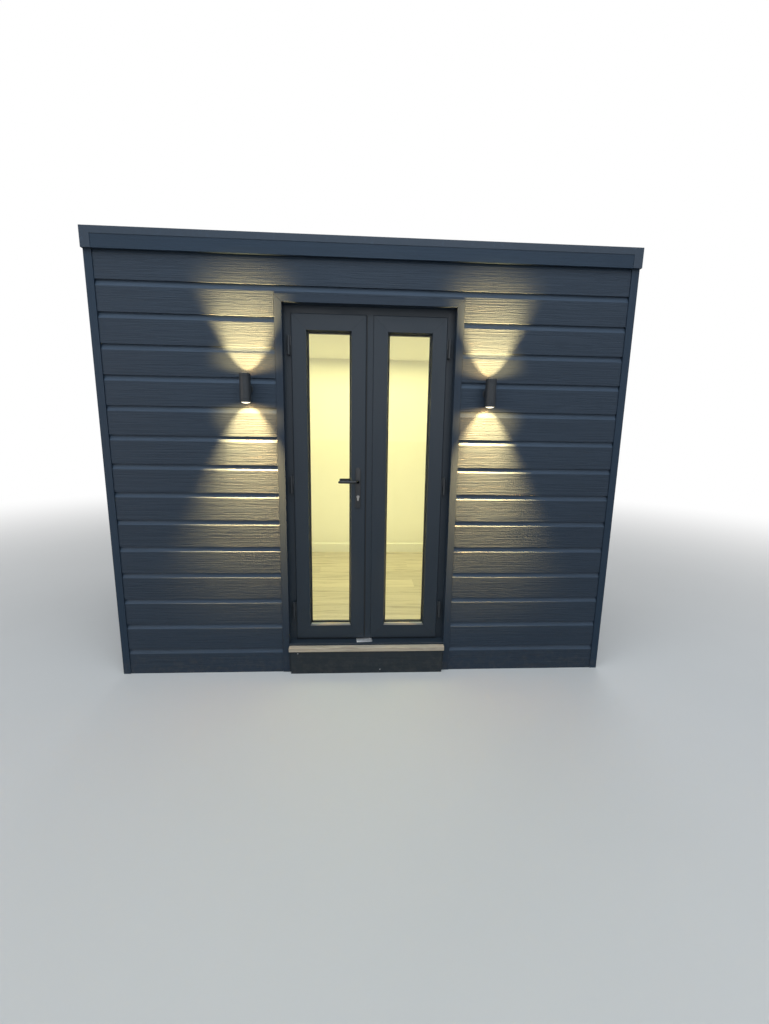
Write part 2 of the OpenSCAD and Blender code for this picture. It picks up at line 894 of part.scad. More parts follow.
// The lever's outline from the front, which tapers to its round tip
module lever_front() {
  root_r = lever_arm_h / 2;
  tip_r = lever_tip_h / 2;
  tip_x = -lever_len + tip_r;
  union() {
    circle(r = root_r);
    polygon([[0, -root_r], [0, root_r], [tip_x, tip_r], [tip_x, -tip_r]]);
    translate([tip_x, 0]) circle(r = tip_r);
  }
}

// The section of the lever's arm, with half-round upper and lower sides
module lever_section() {
  side_r = lever_arm_t / 2;
  centre = (lever_arm_h - lever_arm_t) / 2;
  union() {
    translate([0, -centre]) square([lever_arm_t, 2 * centre]);
    translate([side_r, centre]) circle(r = side_r);
    translate([side_r, -centre]) circle(r = side_r);
  }
}

// One lever on a plate face at y = 0, with its arm towards -X
module lever() {
  arm_base = [lever_arm_h / 2, 0, lever_out];
  rotate([90, 0, 0]) {
    translate([0, 0, seat_gap])
      cylinder(r = lever_neck_r, h = lever_out + lever_arm_t / 2 - seat_gap);
    intersection() {
      translate([0, 0, lever_out - 1]) linear_extrude(lever_arm_t + 2) lever_front();
      translate(arm_base)
        rotate([0, -90, 0]) linear_extrude(lever_len + lever_arm_h / 2) lever_section();
    }
  }
}

module levers() {
  color(steel) {
    translate([lever_x, leaf_y - plate_t, lever_z]) lever();
    translate([lever_x, sash_back + plate_t, lever_z]) mirror([0, 1, 0]) lever();
  }
}

rim_joists();
floor_joists();
floor_deck();
laminate_floor();
left_wall();
right_wall();
back_wall();
front_wall_left();
front_wall_right();
front_wall_head();
left_cladding();
right_cladding();
back_cladding();
front_cladding_left();
front_cladding_right();
front_cladding_head();
corner_trims();
roof_panel();
roof_membrane();
ceiling();
fascia_boards();
fascia_corners();
roof_edge_trims();
skirting();
door_trims();
door_riser();
door_sill();
frame_jambs();
frame_head();
frame_foot();
frame_hinges();
light_brackets();
light_bodies();
light_lenses();
left_sash();
left_glass();
left_beads();
left_hinges();
handle_plates();
lock_cylinder();
levers();
right_sash();
right_glass();
right_beads();
right_hinges();
cover_strip();
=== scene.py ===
"""Dresses the garden office pod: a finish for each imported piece, and the small parts beside the solids.

Metres throughout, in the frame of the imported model: origin on the ground, front towards -Y, +Z up.
"""

import functools
import json
import logging
import math
from dataclasses import dataclass
from enum import Enum
from typing import Callable, Optional, Sequence, Union

import bpy
from mathutils import Matrix, Vector


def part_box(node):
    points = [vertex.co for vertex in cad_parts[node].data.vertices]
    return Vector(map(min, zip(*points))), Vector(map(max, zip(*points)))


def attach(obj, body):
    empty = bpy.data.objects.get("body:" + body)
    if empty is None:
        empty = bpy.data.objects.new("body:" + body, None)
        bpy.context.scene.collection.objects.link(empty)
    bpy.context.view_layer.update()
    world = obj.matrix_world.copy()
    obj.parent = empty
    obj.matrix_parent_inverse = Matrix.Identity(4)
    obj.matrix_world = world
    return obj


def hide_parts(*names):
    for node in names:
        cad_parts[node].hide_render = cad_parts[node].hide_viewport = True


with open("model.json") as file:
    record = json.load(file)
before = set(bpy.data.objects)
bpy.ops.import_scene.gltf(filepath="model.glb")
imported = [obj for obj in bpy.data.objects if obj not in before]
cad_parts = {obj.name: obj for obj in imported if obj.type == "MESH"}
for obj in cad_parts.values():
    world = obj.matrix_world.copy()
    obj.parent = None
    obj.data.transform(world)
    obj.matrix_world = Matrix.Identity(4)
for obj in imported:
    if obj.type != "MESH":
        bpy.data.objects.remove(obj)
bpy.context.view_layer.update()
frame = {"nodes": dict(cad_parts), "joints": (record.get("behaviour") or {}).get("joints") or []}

Colour = tuple[float, float, float]
Point = Sequence[float]
Socket = bpy.types.NodeSocket
Test = Callable[[Vector, Vector], bool]

WHITE: Colour = (1.0, 1.0, 1.0)
NEAR = 0.0001
SHORT = 0.001
MERGED = 0.00001
FACING = 0.9

log = logging.getLogger("garden_office_pod")


class Body(Enum):
    """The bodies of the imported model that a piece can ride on."""

    ROOT = "root"
    LEFT_DOOR = "left_door"
    RIGHT_DOOR = "right_door"
    LEVER = "lever"


class Slot(Enum):
    """The record's material slots, which each new piece names."""

    LAMINATE = "laminate"
    DOOR_FRAME = "door_frame"
    HINGE = "hinge"
    HANDLE = "handle"
    LOCK = "lock"
    LIGHT_BODY = "light_body"


class Axis(Enum):
    """A direction of the model, such as the one that a board's grain follows."""

    X = Vector((1, 0, 0)).freeze()
    Y = Vector((0, 1, 0)).freeze()
    Z = Vector((0, 0, 1)).freeze()

    def stretch(self, along: float, across: float) -> tuple[float, float, float]:
        """Gives the scale of a pattern that is drawn out along this direction."""
        return tuple(along if part else across for part in self.value)


class Side(Enum):
    """The two sides of the doorway, as one faces it."""

    LEFT = -1
    RIGHT = 1

    @property
    def word(self) -> str:
        """The side's name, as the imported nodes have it."""
        return self.name.lower()

    @property
    def door(self) -> Body:
        """The body of the leaf on this side."""
        return Body.LEFT_DOOR if self is Side.LEFT else Body.RIGHT_DOOR


class End(Enum):
    """The two ends of an upright piece, each with the way that it points."""

    UPPER = 1
    LOWER = -1

    @property
    def way(self) -> Vector:
        """The direction in which this end points."""
        return self.value * Axis.Z.value


class Channel:
    """A number that varies over a surface, so that shader maths reads as Python arithmetic."""

    def __init__(self, graph: "Graph", socket: Socket) -> None:
        """Wraps an output socket of a node in the graph."""
        self.graph = graph
        self.socket = socket

    def __add__(self, other: "Level") -> "Channel":
        """Adds a number or a channel."""
        return self.graph.math("ADD", self, other)

    def __sub__(self, other: "Level") -> "Channel":
        """Subtracts a number or a channel."""
        return self.graph.math("SUBTRACT", self, other)

    def __rsub__(self, other: float) -> "Channel":
        """Subtracts this channel from a number."""
        return self.graph.math("SUBTRACT", other, self)

    def __mul__(self, other: "Level") -> "Channel":
        """Multiplies by a number or a channel."""
        return self.graph.math("MULTIPLY", self, other)

    def __truediv__(self, other: "Level") -> "Channel":
        """Divides by a number or a channel."""
        return self.graph.math("DIVIDE", self, other)

    __radd__ = __add__
    __rmul__ = __mul__

    def floor(self) -> "Channel":
        """Rounds down to a whole number."""
        return self.graph.math("FLOOR", self)

    def abs(self) -> "Channel":
        """Drops the sign."""
        return self.graph.math("ABSOLUTE", self)

    def max(self, other: "Level") -> "Channel":
        """Takes the larger of the two."""
        return self.graph.math("MAXIMUM", self, other)

    def ramp(self, low: float, high: float) -> "Channel":
        """Rises smoothly from 0 at one level to 1 at the other, or falls where low is above high.

        Args:
            low: The level at which it is 0.
            high: The level at which it is 1.

        Returns:
            The ramp, from 0 to 1.
        """
        settings = {"interpolation_type": "SMOOTHSTEP"}
        if low < high:
            return self.graph.channel("ShaderNodeMapRange", settings, {0: self, 1: low, 2: high})
        return 1.0 - self.graph.channel("ShaderNodeMapRange", settings, {0: self, 1: high, 2: low})


Level = Union[float, Channel]


class Graph:
    """A node tree under construction, of a material, a lamp or the world."""

    def __init__(self, tree: bpy.types.NodeTree) -> None:
        """Starts from an empty tree."""
        self.tree = tree
        self.tree.nodes.clear()

    def node(self, kind: str, settings: Optional[dict] = None,
             inputs: Optional[dict] = None) -> bpy.types.Node:
        """Adds a node.

        Args:
            kind: The node's type.
            settings: Its properties, which are set before its sockets.
            inputs: A value, a channel or a socket for each of its inputs, by name or number.

        Returns:
            The new node.
        """
        made = self.tree.nodes.new(kind)
        for name, value in (settings or {}).items():
            setattr(made, name, value)
        for key, value in (inputs or {}).items():
            socket = made.inputs[key]
            if isinstance(value, Channel):
                value = value.socket
            if isinstance(value, Socket):
                self.tree.links.new(value, socket)
            elif socket.type == "RGBA" and len(value) == 3:
                socket.default_value = (*value, 1.0)
            else:
                socket.default_value = value
        return made

    def channel(self, kind: str, settings: Optional[dict], inputs: dict,
                output: Union[int, str] = 0) -> Channel:
        """Adds a node and wraps one of its outputs.

        Args:
            kind: The node's type.
            settings: Its properties.
            inputs: What its inputs get.
            output: The output to wrap, by name or number.

        Returns:
            The output as a channel.
        """
        return Channel(self, self.node(kind, settings, inputs).outputs[output])

    def math(self, operation: str, *terms: Level) -> Channel:
        """Adds a Math node on the given terms."""
        return self.channel("ShaderNodeMath", {"operation": operation}, dict(enumerate(terms)))

    def place(self) -> Socket:
        """Gives the point of the surface in the frame of the model."""
        return self.node("ShaderNodeTexCoord").outputs["Object"]

    def split(self, vector: Socket) -> tuple[Channel, Channel, Channel]:
        """Splits a vector into its three parts."""
        parts = self.node("ShaderNodeSeparateXYZ", inputs={0: vector}).outputs
        return Channel(self, parts[0]), Channel(self, parts[1]), Channel(self, parts[2])

    def joined(self, x: Level, y: Level, z: Level) -> Socket:
        """Makes a vector from three parts."""
        return self.node("ShaderNodeCombineXYZ", inputs={0: x, 1: y, 2: z}).outputs[0]

    def added(self, first: Socket, second: Socket) -> Socket:
        """Adds two vectors."""
        return self.node("ShaderNodeVectorMath", {"operation": "ADD"}, {0: first, 1: second}).outputs[0]

    def scaled(self, vector: Socket, scale: Point) -> Socket:
        """Scales a vector by a Mapping node."""
        return self.node("ShaderNodeMapping", inputs={"Vector": vector, "Scale": scale}).outputs[0]

    def swayed(self, vector: Socket, scale: Point, sway: Channel) -> Socket:
        """Scales a vector, and then moves it by the same channel in all three directions."""
        return self.added(self.scaled(vector, scale), self.joined(sway, sway, sway))

    def noise(self, vector: Socket, scale: float = 1.0, detail: float = 2.0,
              roughness: float = 0.5, distortion: float = 0.0) -> Channel:
        """Adds a noise pattern.

        Args:
            vector: Where the pattern is read.
            scale: Its fineness.
            detail: The number of finer layers.
            roughness: The weight of the finer layers.
            distortion: How far it is swirled.

        Returns:
            The noise, from 0 to 1 with its mean at about 0.5.
        """
        inputs = {"Vector": vector, "Scale": scale, "Detail": detail, "Roughness": roughness,
                  "Distortion": distortion}
        return self.channel("ShaderNodeTexNoise", None, inputs, "Fac")

    def streaks(self, vector: Socket, scale: Point, detail: float = 2.0,
                roughness: float = 0.5, distortion: float = 0.0) -> Channel:
        """Adds a noise pattern with a fineness of its own in each direction."""
        return self.noise(self.scaled(vector, scale), 1.0, detail, roughness, distortion)

    def random(self, *whole: Level) -> Channel:
        """Gives a random number from 0 to 1 for each set of up to three whole numbers."""
        parts = [*whole, 0.0, 0.0][:3]
        return self.channel("ShaderNodeTexWhiteNoise", None, {"Vector": self.joined(*parts)}, "Value")

    def blend(self, share: Level, first: Union[Colour, Socket], second: Union[Colour, Socket]) -> Socket:
        """Mixes two colours by the share of the second one."""
        inputs = {0: share, 6: first, 7: second}
        return self.node("ShaderNodeMix", {"data_type": "RGBA"}, inputs).outputs[2]

    def shade(self, colour: Union[Colour, Socket], strength: Level) -> Socket:
        """Multiplies a colour by a strength."""
        inputs = {0: colour, "Scale": strength}
        return self.node("ShaderNodeVectorMath", {"operation": "SCALE"}, inputs).outputs[0]

    def bump(self, height: Channel, depth: float) -> Socket:
        """Gives the normal of a relief of the given depth in metres."""
        return self.node("ShaderNodeBump", inputs={"Height": height, "Distance": depth}).outputs[0]

    def rays(self, *kinds: str) -> Channel:
        """Gives 1 for a ray of any of the given kinds, and 0 for other rays."""
        outputs = self.node("ShaderNodeLightPath").outputs
        return functools.reduce(Channel.max, [Channel(self, outputs[f"Is {kind} Ray"]) for kind in kinds])

    def principled(self, **inputs: Union[Level, Colour, Socket]) -> Socket:
        """Gives a Principled BSDF, with its sockets named in small letters with underscores."""
        return self.node("ShaderNodeBsdfPrincipled", inputs={
            name.replace("_", " ").title().replace("Ior", "IOR"): value for name, value in inputs.items()
        }).outputs[0]

    def emission(self, strength: Level) -> Socket:
        """Gives a white glow of the given strength."""
        return self.node("ShaderNodeEmission", inputs={"Color": WHITE, "Strength": strength}).outputs[0]

    def mixed(self, share: Level, first: Socket, second: Socket) -> Socket:
        """Mixes two shaders by the share of the second one."""
        return self.node("ShaderNodeMixShader", inputs={0: share, 1: first, 2: second}).outputs[0]


class Finish:
    """A finish that the pieces can have. Each kind says how its material is built."""

    name: str

    def paint(self, graph: Graph) -> Socket:
        """Builds the nodes and returns the shader."""
        raise NotImplementedError


@functools.cache
def material_of(finish: Finish) -> bpy.types.Material:
    """Makes the material of a finish, once.

    Args:
        finish: The finish.

    Returns:
        Its material.
    """
    material = bpy.data.materials.new(finish.name)
    material.use_nodes = True
    graph = Graph(material.node_tree)
    graph.node("ShaderNodeOutputMaterial", inputs={"Surface": finish.paint(graph)})
    return material


@dataclass(frozen=True)
class Courses:
    """The courses of lapped boards, so that each board gets its own tone and its own run of grain."""

    first_lap: float = 0.161
    cover: float = 0.161
    bevel: float = 0.032
    blur: float = 0.012

    def numbered(self, height: Channel) -> tuple[Channel, Channel]:
        """Gives the number of the board at a height, and the share of its cover below that height."""
        laps = (height - self.first_lap) / self.cover
        return laps.floor(), laps - laps.floor()

    def slope(self, share: Channel) -> Channel:
        """Gives 1 on the sloping upper edge of a board and 0 below it, from the share of its cover."""
        edge = 1.0 - self.bevel / self.cover
        return share.ramp(edge - self.blur, edge + self.blur)


@dataclass(frozen=True)
class Mitres:
    """The mitred corners of an upright frame and of its mirror image, which show as fine joints."""

    middle: tuple[float, float]
    half: tuple[float, float]
    width: float
    joint: float = 0.0016
    overrun: float = 0.002

    @classmethod
    def within(cls, node: str, width: float, to_ground: bool = False) -> "Mitres":
        """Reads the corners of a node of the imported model.

        Args:
            node: The node.
            width: The width of its members.
            to_ground: Whether its sides run down to the ground, with no lower corners.

        Returns:
            The corners.
        """
        low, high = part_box(node)
        wide, tall = (high.x - low.x) / 2, (high.z - low.z) / 2
        if to_ground:
            return cls((0, 0), (wide, high.z), width)
        return cls((abs(low.x + high.x) / 2, (low.z + high.z) / 2), (wide, tall), width)

    def depths(self, x: Channel, z: Channel) -> tuple[Channel, Channel]:
        """Gives how far a point lies in from the side and from the end that are nearest to it."""
        side = self.half[0] - (x.abs() - self.middle[0]).abs()
        return side, self.half[1] - (z - self.middle[1]).abs()

    def lines(self, graph: Graph, place: Socket) -> Channel:
        """Draws the joints.

        Args:
            graph: The material's nodes.
            place: The point of the surface.

        Returns:
            A channel that is 1 in the joints and 0 beside them.
        """
        x, _, z = graph.split(place)
        side, end = self.depths(x, z)
        inside = side.ramp(self.width + self.overrun, self.width)
        return (side - end).abs().ramp(self.joint, self.joint * 0.4) * inside

    def along_members(self, graph: Graph, place: Socket) -> Socket:
        """Swaps across and up in the rails, so that the grain of the stiles runs along them too.

        Args:
            graph: The material's nodes.
            place: The point of the surface.

        Returns:
            The point to read the grain at.
        """
        x, y, z = graph.split(place)
        side, end = self.depths(x, z)
        rail = (side - end).ramp(-NEAR, NEAR)
        return graph.joined(x + rail * (z - x), y, z + rail * (x - z))


@dataclass(frozen=True)
class GrainedPaint(Finish):
    """Satin paint on an embossed wood grain, as on the boards and the trims."""

    name: str
    colour: Colour
    along: Axis = Axis.X
    relief: float = 0.0009
    line_pitch: float = 0.0065
    roughness: float = 0.42
    sheen: float = 0.18
    courses: Optional[Courses] = None
    mitres: Optional[Mitres] = None
    # Painted highlight: how much paler the upward sloping upper edges of the boards are drawn, for the sky
    # light that falls on them.
    weathering: float = 0.55
    splash_top: float = 0.20
    splash: Colour = (0.075, 0.072, 0.068)

    def paint(self, graph: Graph) -> Socket:
        """Builds wavy grain, the tone of each board, a painted highlight of sky light on the sloping
        edges, and dirt from the ground.

        Args:
            graph: The material's nodes.

        Returns:
            The shader.
        """
        place = graph.place()
        height = graph.split(place)[2]
        tone = graph.noise(place, 1.7)
        bevel_highlight, joint = 0.0, 0.0
        if self.mitres:
            joint = self.mitres.lines(graph, place)
            place = self.mitres.along_members(graph, place)
        if self.courses:
            course, share = self.courses.numbered(height)
            # Painted highlight: the sloping upper edge of each board is made paler, in patches, for the
            # sky light on it.
            bevel_highlight = self.courses.slope(share) * (0.7 + 0.6 * graph.noise(place, 3.1, 3))
            place = graph.added(place, graph.joined(course * 3.7, course * 5.3, course * 0.37))
            tone = tone * 0.6 + graph.random(course) * 0.4
        sway = graph.streaks(place, self.along.stretch(1.3, 14), 2, 0.5, 0.8)
        swayed = graph.swayed(place, self.along.stretch(2.6, 1 / self.line_pitch), sway * 5)
        lines = graph.noise(swayed, 1.0, 3, 0.6).ramp(0.36, 0.62)
        pores = graph.streaks(place, self.along.stretch(60, 900)).ramp(0.35, 0.75)
        relief = lines * 0.8 + pores * 0.2 - 2.0 * joint
        pale = graph.shade(self.colour, 0.88 + tone * 0.24)
        colour = graph.shade(pale, 0.90 + relief * 0.14 + bevel_highlight * self.weathering - 0.45 * joint)
        spots = graph.noise(place, 24, 4, 0.65).ramp(0.42, 0.7)
        colour = graph.blend(height.ramp(self.splash_top, 0.0) * spots * 0.3, colour, self.splash)
        gloss = self.roughness + 0.16 * graph.noise(place, 5, 3) - 0.06 * relief
        return graph.principled(base_color=colour, roughness=gloss, specular_ior_level=self.sheen,
                                normal=graph.bump(relief, self.relief))


@dataclass(frozen=True)
class FoiledPlastic(Finish):
    """Satin foil on the door profiles, with a faint fine grain and some handling marks."""

    name: str
    colour: Colour
    along: Axis = Axis.Z
    roughness: float = 0.36
    mitres: Optional[Mitres] = None

    def paint(self, graph: Graph) -> Socket:
        """Builds the fine grain, slow waves in the gloss, faint wiped streaks and the welds.

        Args:
            graph: The material's nodes.

        Returns:
            The shader.
        """
        place = graph.place()
        weld = 0.0
        if self.mitres:
            weld = self.mitres.lines(graph, place)
            place = self.mitres.along_members(graph, place)
        grain = graph.streaks(place, self.along.stretch(30, 700), 3, 0.6) - 3.0 * weld
        cloud = graph.noise(place, 3.2, 3)
        wiped = graph.streaks(place, self.along.stretch(2, 12), 3, 0.6, 0.5).ramp(0.45, 0.75)
        colour = graph.shade(self.colour, 0.90 + cloud * 0.16 + grain * 0.06 - 0.25 * weld)
        return graph.principled(base_color=colour, roughness=self.roughness + 0.14 * wiped,
                                specular_ior_level=0.26, normal=graph.bump(grain, 0.00012))


@dataclass(frozen=True)
class CoatedMetal(Finish):
    """Fine powder coat on metal, with patches rubbed a little paler."""

    name: str
    colour: Colour
    roughness: float = 0.38
    grain: float = 1500.0

    def paint(self, graph: Graph) -> Socket:
        """Builds the fine orange peel of the coat, and rubbed patches.

        Args:
            graph: The material's nodes.

        Returns:
            The shader.
        """
        place = graph.place()
        peel = graph.noise(place, self.grain, 2)
        rubbed = graph.noise(place, 35, 4, 0.6).ramp(0.55, 0.8)
        colour = graph.shade(self.colour, 0.92 + rubbed * 0.35)
        roughness = self.roughness + 0.12 * graph.noise(place, 18)
        return graph.principled(base_color=colour, roughness=roughness, specular_ior_level=0.34,
                                normal=graph.bump(peel, 0.00006))


@dataclass(frozen=True)
class BrushedMetal(Finish):
    """Bare satin metal with fine brush lines."""

    name: str
    colour: Colour
    along: Axis = Axis.X
    roughness: float = 0.30

    def paint(self, graph: Graph) -> Socket:
        """Builds brush lines, and a slow dulling.

        Args:
            graph: The material's nodes.

        Returns:
            The shader.
        """
        place = graph.place()
        lines = graph.streaks(place, self.along.stretch(90, 4500))
        dull = graph.noise(place, 60, 3).ramp(0.4, 0.8)
        colour = graph.shade(self.colour, 0.94 - dull * 0.2 + lines * 0.1)
        gloss = self.roughness + 0.15 * lines + 0.1 * dull
        return graph.principled(base_color=colour, metallic=1.0, roughness=gloss,
                                normal=graph.bump(lines, 0.00004))


@dataclass(frozen=True)
class Rubber(Finish):
    """Matt black rubber or sheet."""

    name: str
    colour: Colour
    roughness: float = 0.68
    ripple: float = 0.0001
    dust: Colour = (0.055, 0.055, 0.052)
    dust_share: float = 0.25

    def paint(self, graph: Graph) -> Socket:
        """Builds soft ripples and a patchy film of dust.

        Args:
            graph: The material's nodes.

        Returns:
            The shader.
        """
        place = graph.place()
        ripple = graph.noise(place, 6, 3) * 0.7 + graph.noise(place, 90, 2) * 0.3
        film = graph.noise(place, 2.3, 5, 0.62).ramp(0.45, 0.72)
        colour = graph.blend(film * self.dust_share, self.colour, self.dust)
        return graph.principled(base_color=colour, roughness=self.roughness + 0.15 * film,
                                specular_ior_level=0.35, normal=graph.bump(ripple, self.ripple))


@dataclass(frozen=True)
class WallPaint(Finish):
    """Emulsion on the lining, or satin paint on the skirting."""

    name: str
    colour: Colour
    roughness: float = 0.75
    stipple: float = 0.00025

    def paint(self, graph: Graph) -> Socket:
        """Builds the stipple of a roller and slow changes of tone.

        Args:
            graph: The material's nodes.

        Returns:
            The shader.
        """
        place = graph.place()
        stipple = graph.noise(place, 420, 3, 0.6)
        colour = graph.shade(self.colour, 0.97 + 0.05 * graph.noise(place, 1.4, 3))
        return graph.principled(base_color=colour, roughness=self.roughness + 0.1 * graph.noise(place, 9),
                                specular_ior_level=0.3, normal=graph.bump(stipple, self.stipple))


@dataclass(frozen=True)
class SawnTimber(Finish):
    """Bare wood with growth lines, as on the joists and the sill."""

    name: str
    colour: Colour
    dark: Colour
    along: Axis = Axis.X
    line_pitch: float = 0.010
    weathered: float = 0.0
    grey: Colour = (0.16, 0.15, 0.135)

    def paint(self, graph: Graph) -> Socket:
        """Builds growth lines that sway round knots, saw marks, and grey stains where it is weathered.

        Args:
            graph: The material's nodes.

        Returns:
            The shader.
        """
        place = graph.place()
        sway = graph.streaks(place, self.along.stretch(1.5, 9), 2, 0.5, 1.2)
        swayed = graph.swayed(place, self.along.stretch(2.2, 1 / self.line_pitch), sway * 6)
        rings = graph.noise(swayed, 1.0, 3, 0.55).ramp(0.35, 0.66)
        fibre = graph.streaks(place, self.along.stretch(25, 1100))
        colour = graph.blend(rings * 0.75, self.colour, self.dark)
        colour = graph.shade(colour, 0.86 + 0.28 * graph.noise(place, 3, 3))
        stain = graph.streaks(place, self.along.stretch(4, 30), 4, 0.65).ramp(0.48, 0.7)
        colour = graph.blend(stain * self.weathered, colour, self.grey)
        relief = rings * -0.5 + fibre * 0.5
        return graph.principled(base_color=colour, roughness=0.66 + 0.15 * fibre, specular_ior_level=0.3,
                                normal=graph.bump(relief, 0.0006))


@dataclass(frozen=True)
class ChipBoard(Finish):
    """Flooring-grade board of pressed chips."""

    name: str
    colour: Colour
    dark: Colour

    def paint(self, graph: Graph) -> Socket:
        """Builds chips of many tones.

        Args:
            graph: The material's nodes.

        Returns:
            The shader.
        """
        cells = {"Vector": graph.scaled(graph.place(), (150, 260, 300)), "Scale": 1.0}
        chip = graph.node("ShaderNodeTexVoronoi", {"feature": "F1"}, cells).outputs["Color"]
        tone = graph.split(chip)[0]
        colour = graph.blend(tone * 0.7, self.colour, self.dark)
        return graph.principled(base_color=colour, roughness=0.72 + 0.1 * tone,
                                normal=graph.bump(tone, 0.0002))


@dataclass(frozen=True)
class LaminatePlanks(Finish):
    """Grey-brown wood-effect planks, each with its own tone and streaks."""

    name: str
    colour: Colour
    streak: Colour
    length: float
    width: float
    stagger: float
    front: float

    def paint(self, graph: Graph) -> Socket:
        """Builds the tone of each plank, long dark streaks and fine pores.

        Args:
            graph: The material's nodes.

        Returns:
            The shader.
        """
        x, y, _ = graph.split(graph.place())
        row = ((y - self.front) / self.width).floor()
        column = ((x + row * self.stagger) / self.length).floor()
        number = graph.random(row, column)
        moved = graph.joined(x + number * 9, y + number * 3, number * 5)
        sway = graph.streaks(moved, (1.6, 9, 1), 2, 0.5, 0.8)
        bands = graph.joined(x * 1.7 + number * 9, y * 42 + sway * 5, number * 7)
        streaks = graph.noise(bands, 1.0, 4, 0.6).ramp(0.46, 0.72)
        pores = graph.streaks(moved, (22, 700, 1)).ramp(0.5, 0.8)
        colour = graph.blend(streaks * 0.8, self.colour, self.streak)
        colour = graph.shade(colour, 0.84 + number * 0.24 - pores * 0.06)
        return graph.principled(base_color=colour, roughness=0.42 + 0.12 * streaks + 0.1 * pores,
                                specular_ior_level=0.35, normal=graph.bump(pores * -1.0, 0.0001))


@dataclass(frozen=True)
class ClearGlass(Finish):
    """A sealed unit of clear glass with a faint film of dust, which lets light through."""

    name: str
    colour: Colour = (0.985, 1.0, 0.992)

    def paint(self, graph: Graph) -> Socket:
        """Builds clear glass for the eye, and plain see-through for the light that passes.

        Args:
            graph: The material's nodes.

        Returns:
            The shader.
        """
        film = graph.noise(graph.place(), 4, 4, 0.6).ramp(0.5, 0.8)
        glass = graph.principled(base_color=graph.shade(self.colour, 1.0 - film * 0.015),
                                 roughness=film * 0.012, ior=1.45, transmission_weight=1.0)
        passing = graph.node("ShaderNodeBsdfTransparent", inputs={"Color": self.colour}).outputs[0]
        return graph.mixed(graph.rays("Shadow", "Diffuse"), glass, passing)


@dataclass(frozen=True)
class LitLens(Finish):
    """The frosted lenses of the lights, with their lamps on."""

    name: str
    colour: Colour
    glow: float
    # Painted shade: how much the rim of the upper lens is darkened, in glow and colour, for the shade of
    # the body over it.
    dark_rim: float = 0.94
    rim_edge: float = 0.001
    rim_height: float = 0.010

    def paint(self, graph: Graph) -> Socket:
        """Builds an even glow with a fine frosting, and painted shade on the rim round the upper lens.

        Args:
            graph: The material's nodes.

        Returns:
            The shader.
        """
        place = graph.place()
        frost = graph.noise(place, 900, 2)
        low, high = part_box("light_lenses")
        height = graph.split(place)[2]
        upper = height.ramp((low.z + high.z) / 2, high.z - self.rim_height)
        # Painted shade on the rim of the upper lens.
        lit = 1.0 - self.dark_rim * (upper * height.ramp(high.z, high.z - self.rim_edge))
        glow = graph.shade(self.colour, lit * (0.94 + 0.12 * graph.noise(place, 40)))
        return graph.principled(base_color=graph.shade(self.colour, lit), roughness=0.5 + 0.1 * frost,
                                emission_color=glow, emission_strength=self.glow,
                                normal=graph.bump(frost, 0.0001))


@dataclass(frozen=True)
class StudioFloor(Finish):
    """Plain pale floor that fades into the white backdrop."""

    name: str = "studio_floor"
    colour: Colour = (0.56, 0.56, 0.555)
    bounce: Colour = (0.26, 0.26, 0.26)
    fade_start: float = 2.6
    fade_end: float = 9.0

    def paint(self, graph: Graph) -> Socket:
        """Builds a pale floor near the pod, and plain white far away.

        Args:
            graph: The material's nodes.

        Returns:
            The shader.
        """
        place = graph.place()
        x, y, _ = graph.split(place)
        away = graph.math("SQRT", x * x + y * y).ramp(self.fade_start, self.fade_end)
        seen = graph.rays("Camera", "Glossy", "Transmission")
        tone = graph.blend(seen, self.bounce, self.colour)
        tone = graph.shade(tone, 0.985 + 0.03 * graph.noise(place, 2.0, 4))
        near = graph.principled(base_color=tone, roughness=0.7, specular_ior_level=0.2)
        return graph.mixed(away * seen, near, graph.emission(1.0))


BOARD_GREY: Colour = (0.0235, 0.037, 0.057)
TRIM_GREY: Colour = (0.017, 0.033, 0.056)
DOOR_TRIM_GREY: Colour = (0.0205, 0.033, 0.052)
DOOR_GREY: Colour = (0.019, 0.028, 0.039)
RISER_GREY: Colour = (0.022, 0.029, 0.035)
JOIST_TONES: tuple[Colour, Colour] = ((0.62, 0.46, 0.28), (0.42, 0.27, 0.13))
COURSES = Courses()
DOOR_TRIM_MITRES = Mitres.within("door_trims", 0.08, to_ground=True)
SASH_MITRES = Mitres.within("left_sash", 0.1)

BOARDS_ACROSS = GrainedPaint("board_paint_across", BOARD_GREY, Axis.X, courses=COURSES)
BOARDS_DEEP = GrainedPaint("board_paint_deep", BOARD_GREY, Axis.Y, courses=COURSES)
RISER_PAINT = GrainedPaint("riser_paint", RISER_GREY, Axis.X, relief=0.0006)
CORNER_PAINT = GrainedPaint("corner_trim_paint", TRIM_GREY, Axis.Z, relief=0.0002, line_pitch=0.004)
DOOR_TRIM_PAINT = GrainedPaint("door_trim_paint", DOOR_TRIM_GREY, Axis.Z, relief=0.0002,
                               line_pitch=0.004, mitres=DOOR_TRIM_MITRES)
FASCIA_ACROSS = GrainedPaint("fascia_paint", TRIM_GREY, Axis.X, relief=0.0002, line_pitch=0.005)
EDGE_TRIM_COAT = CoatedMetal("edge_trim_coat", TRIM_GREY, 0.40, 900.0)
DOOR_FOIL = FoiledPlastic("door_foil", DOOR_GREY)
RAIL_FOIL = FoiledPlastic("rail_foil", DOOR_GREY, Axis.X)
SASH_FOIL = FoiledPlastic("sash_foil", DOOR_GREY, mitres=SASH_MITRES)
HINGE_COAT = CoatedMetal("hinge_coat", (0.026, 0.031, 0.037))
HANDLE_COAT = CoatedMetal("handle_coat", (0.022, 0.025, 0.029), 0.30)
LIGHT_COAT = CoatedMetal("light_coat", (0.017, 0.022, 0.028), 0.42, 2200.0)
BARE_STEEL = BrushedMetal("satin_steel", (0.50, 0.50, 0.49))
LOCK_STEEL = BrushedMetal("lock_steel", (0.27, 0.27, 0.265), roughness=0.45)
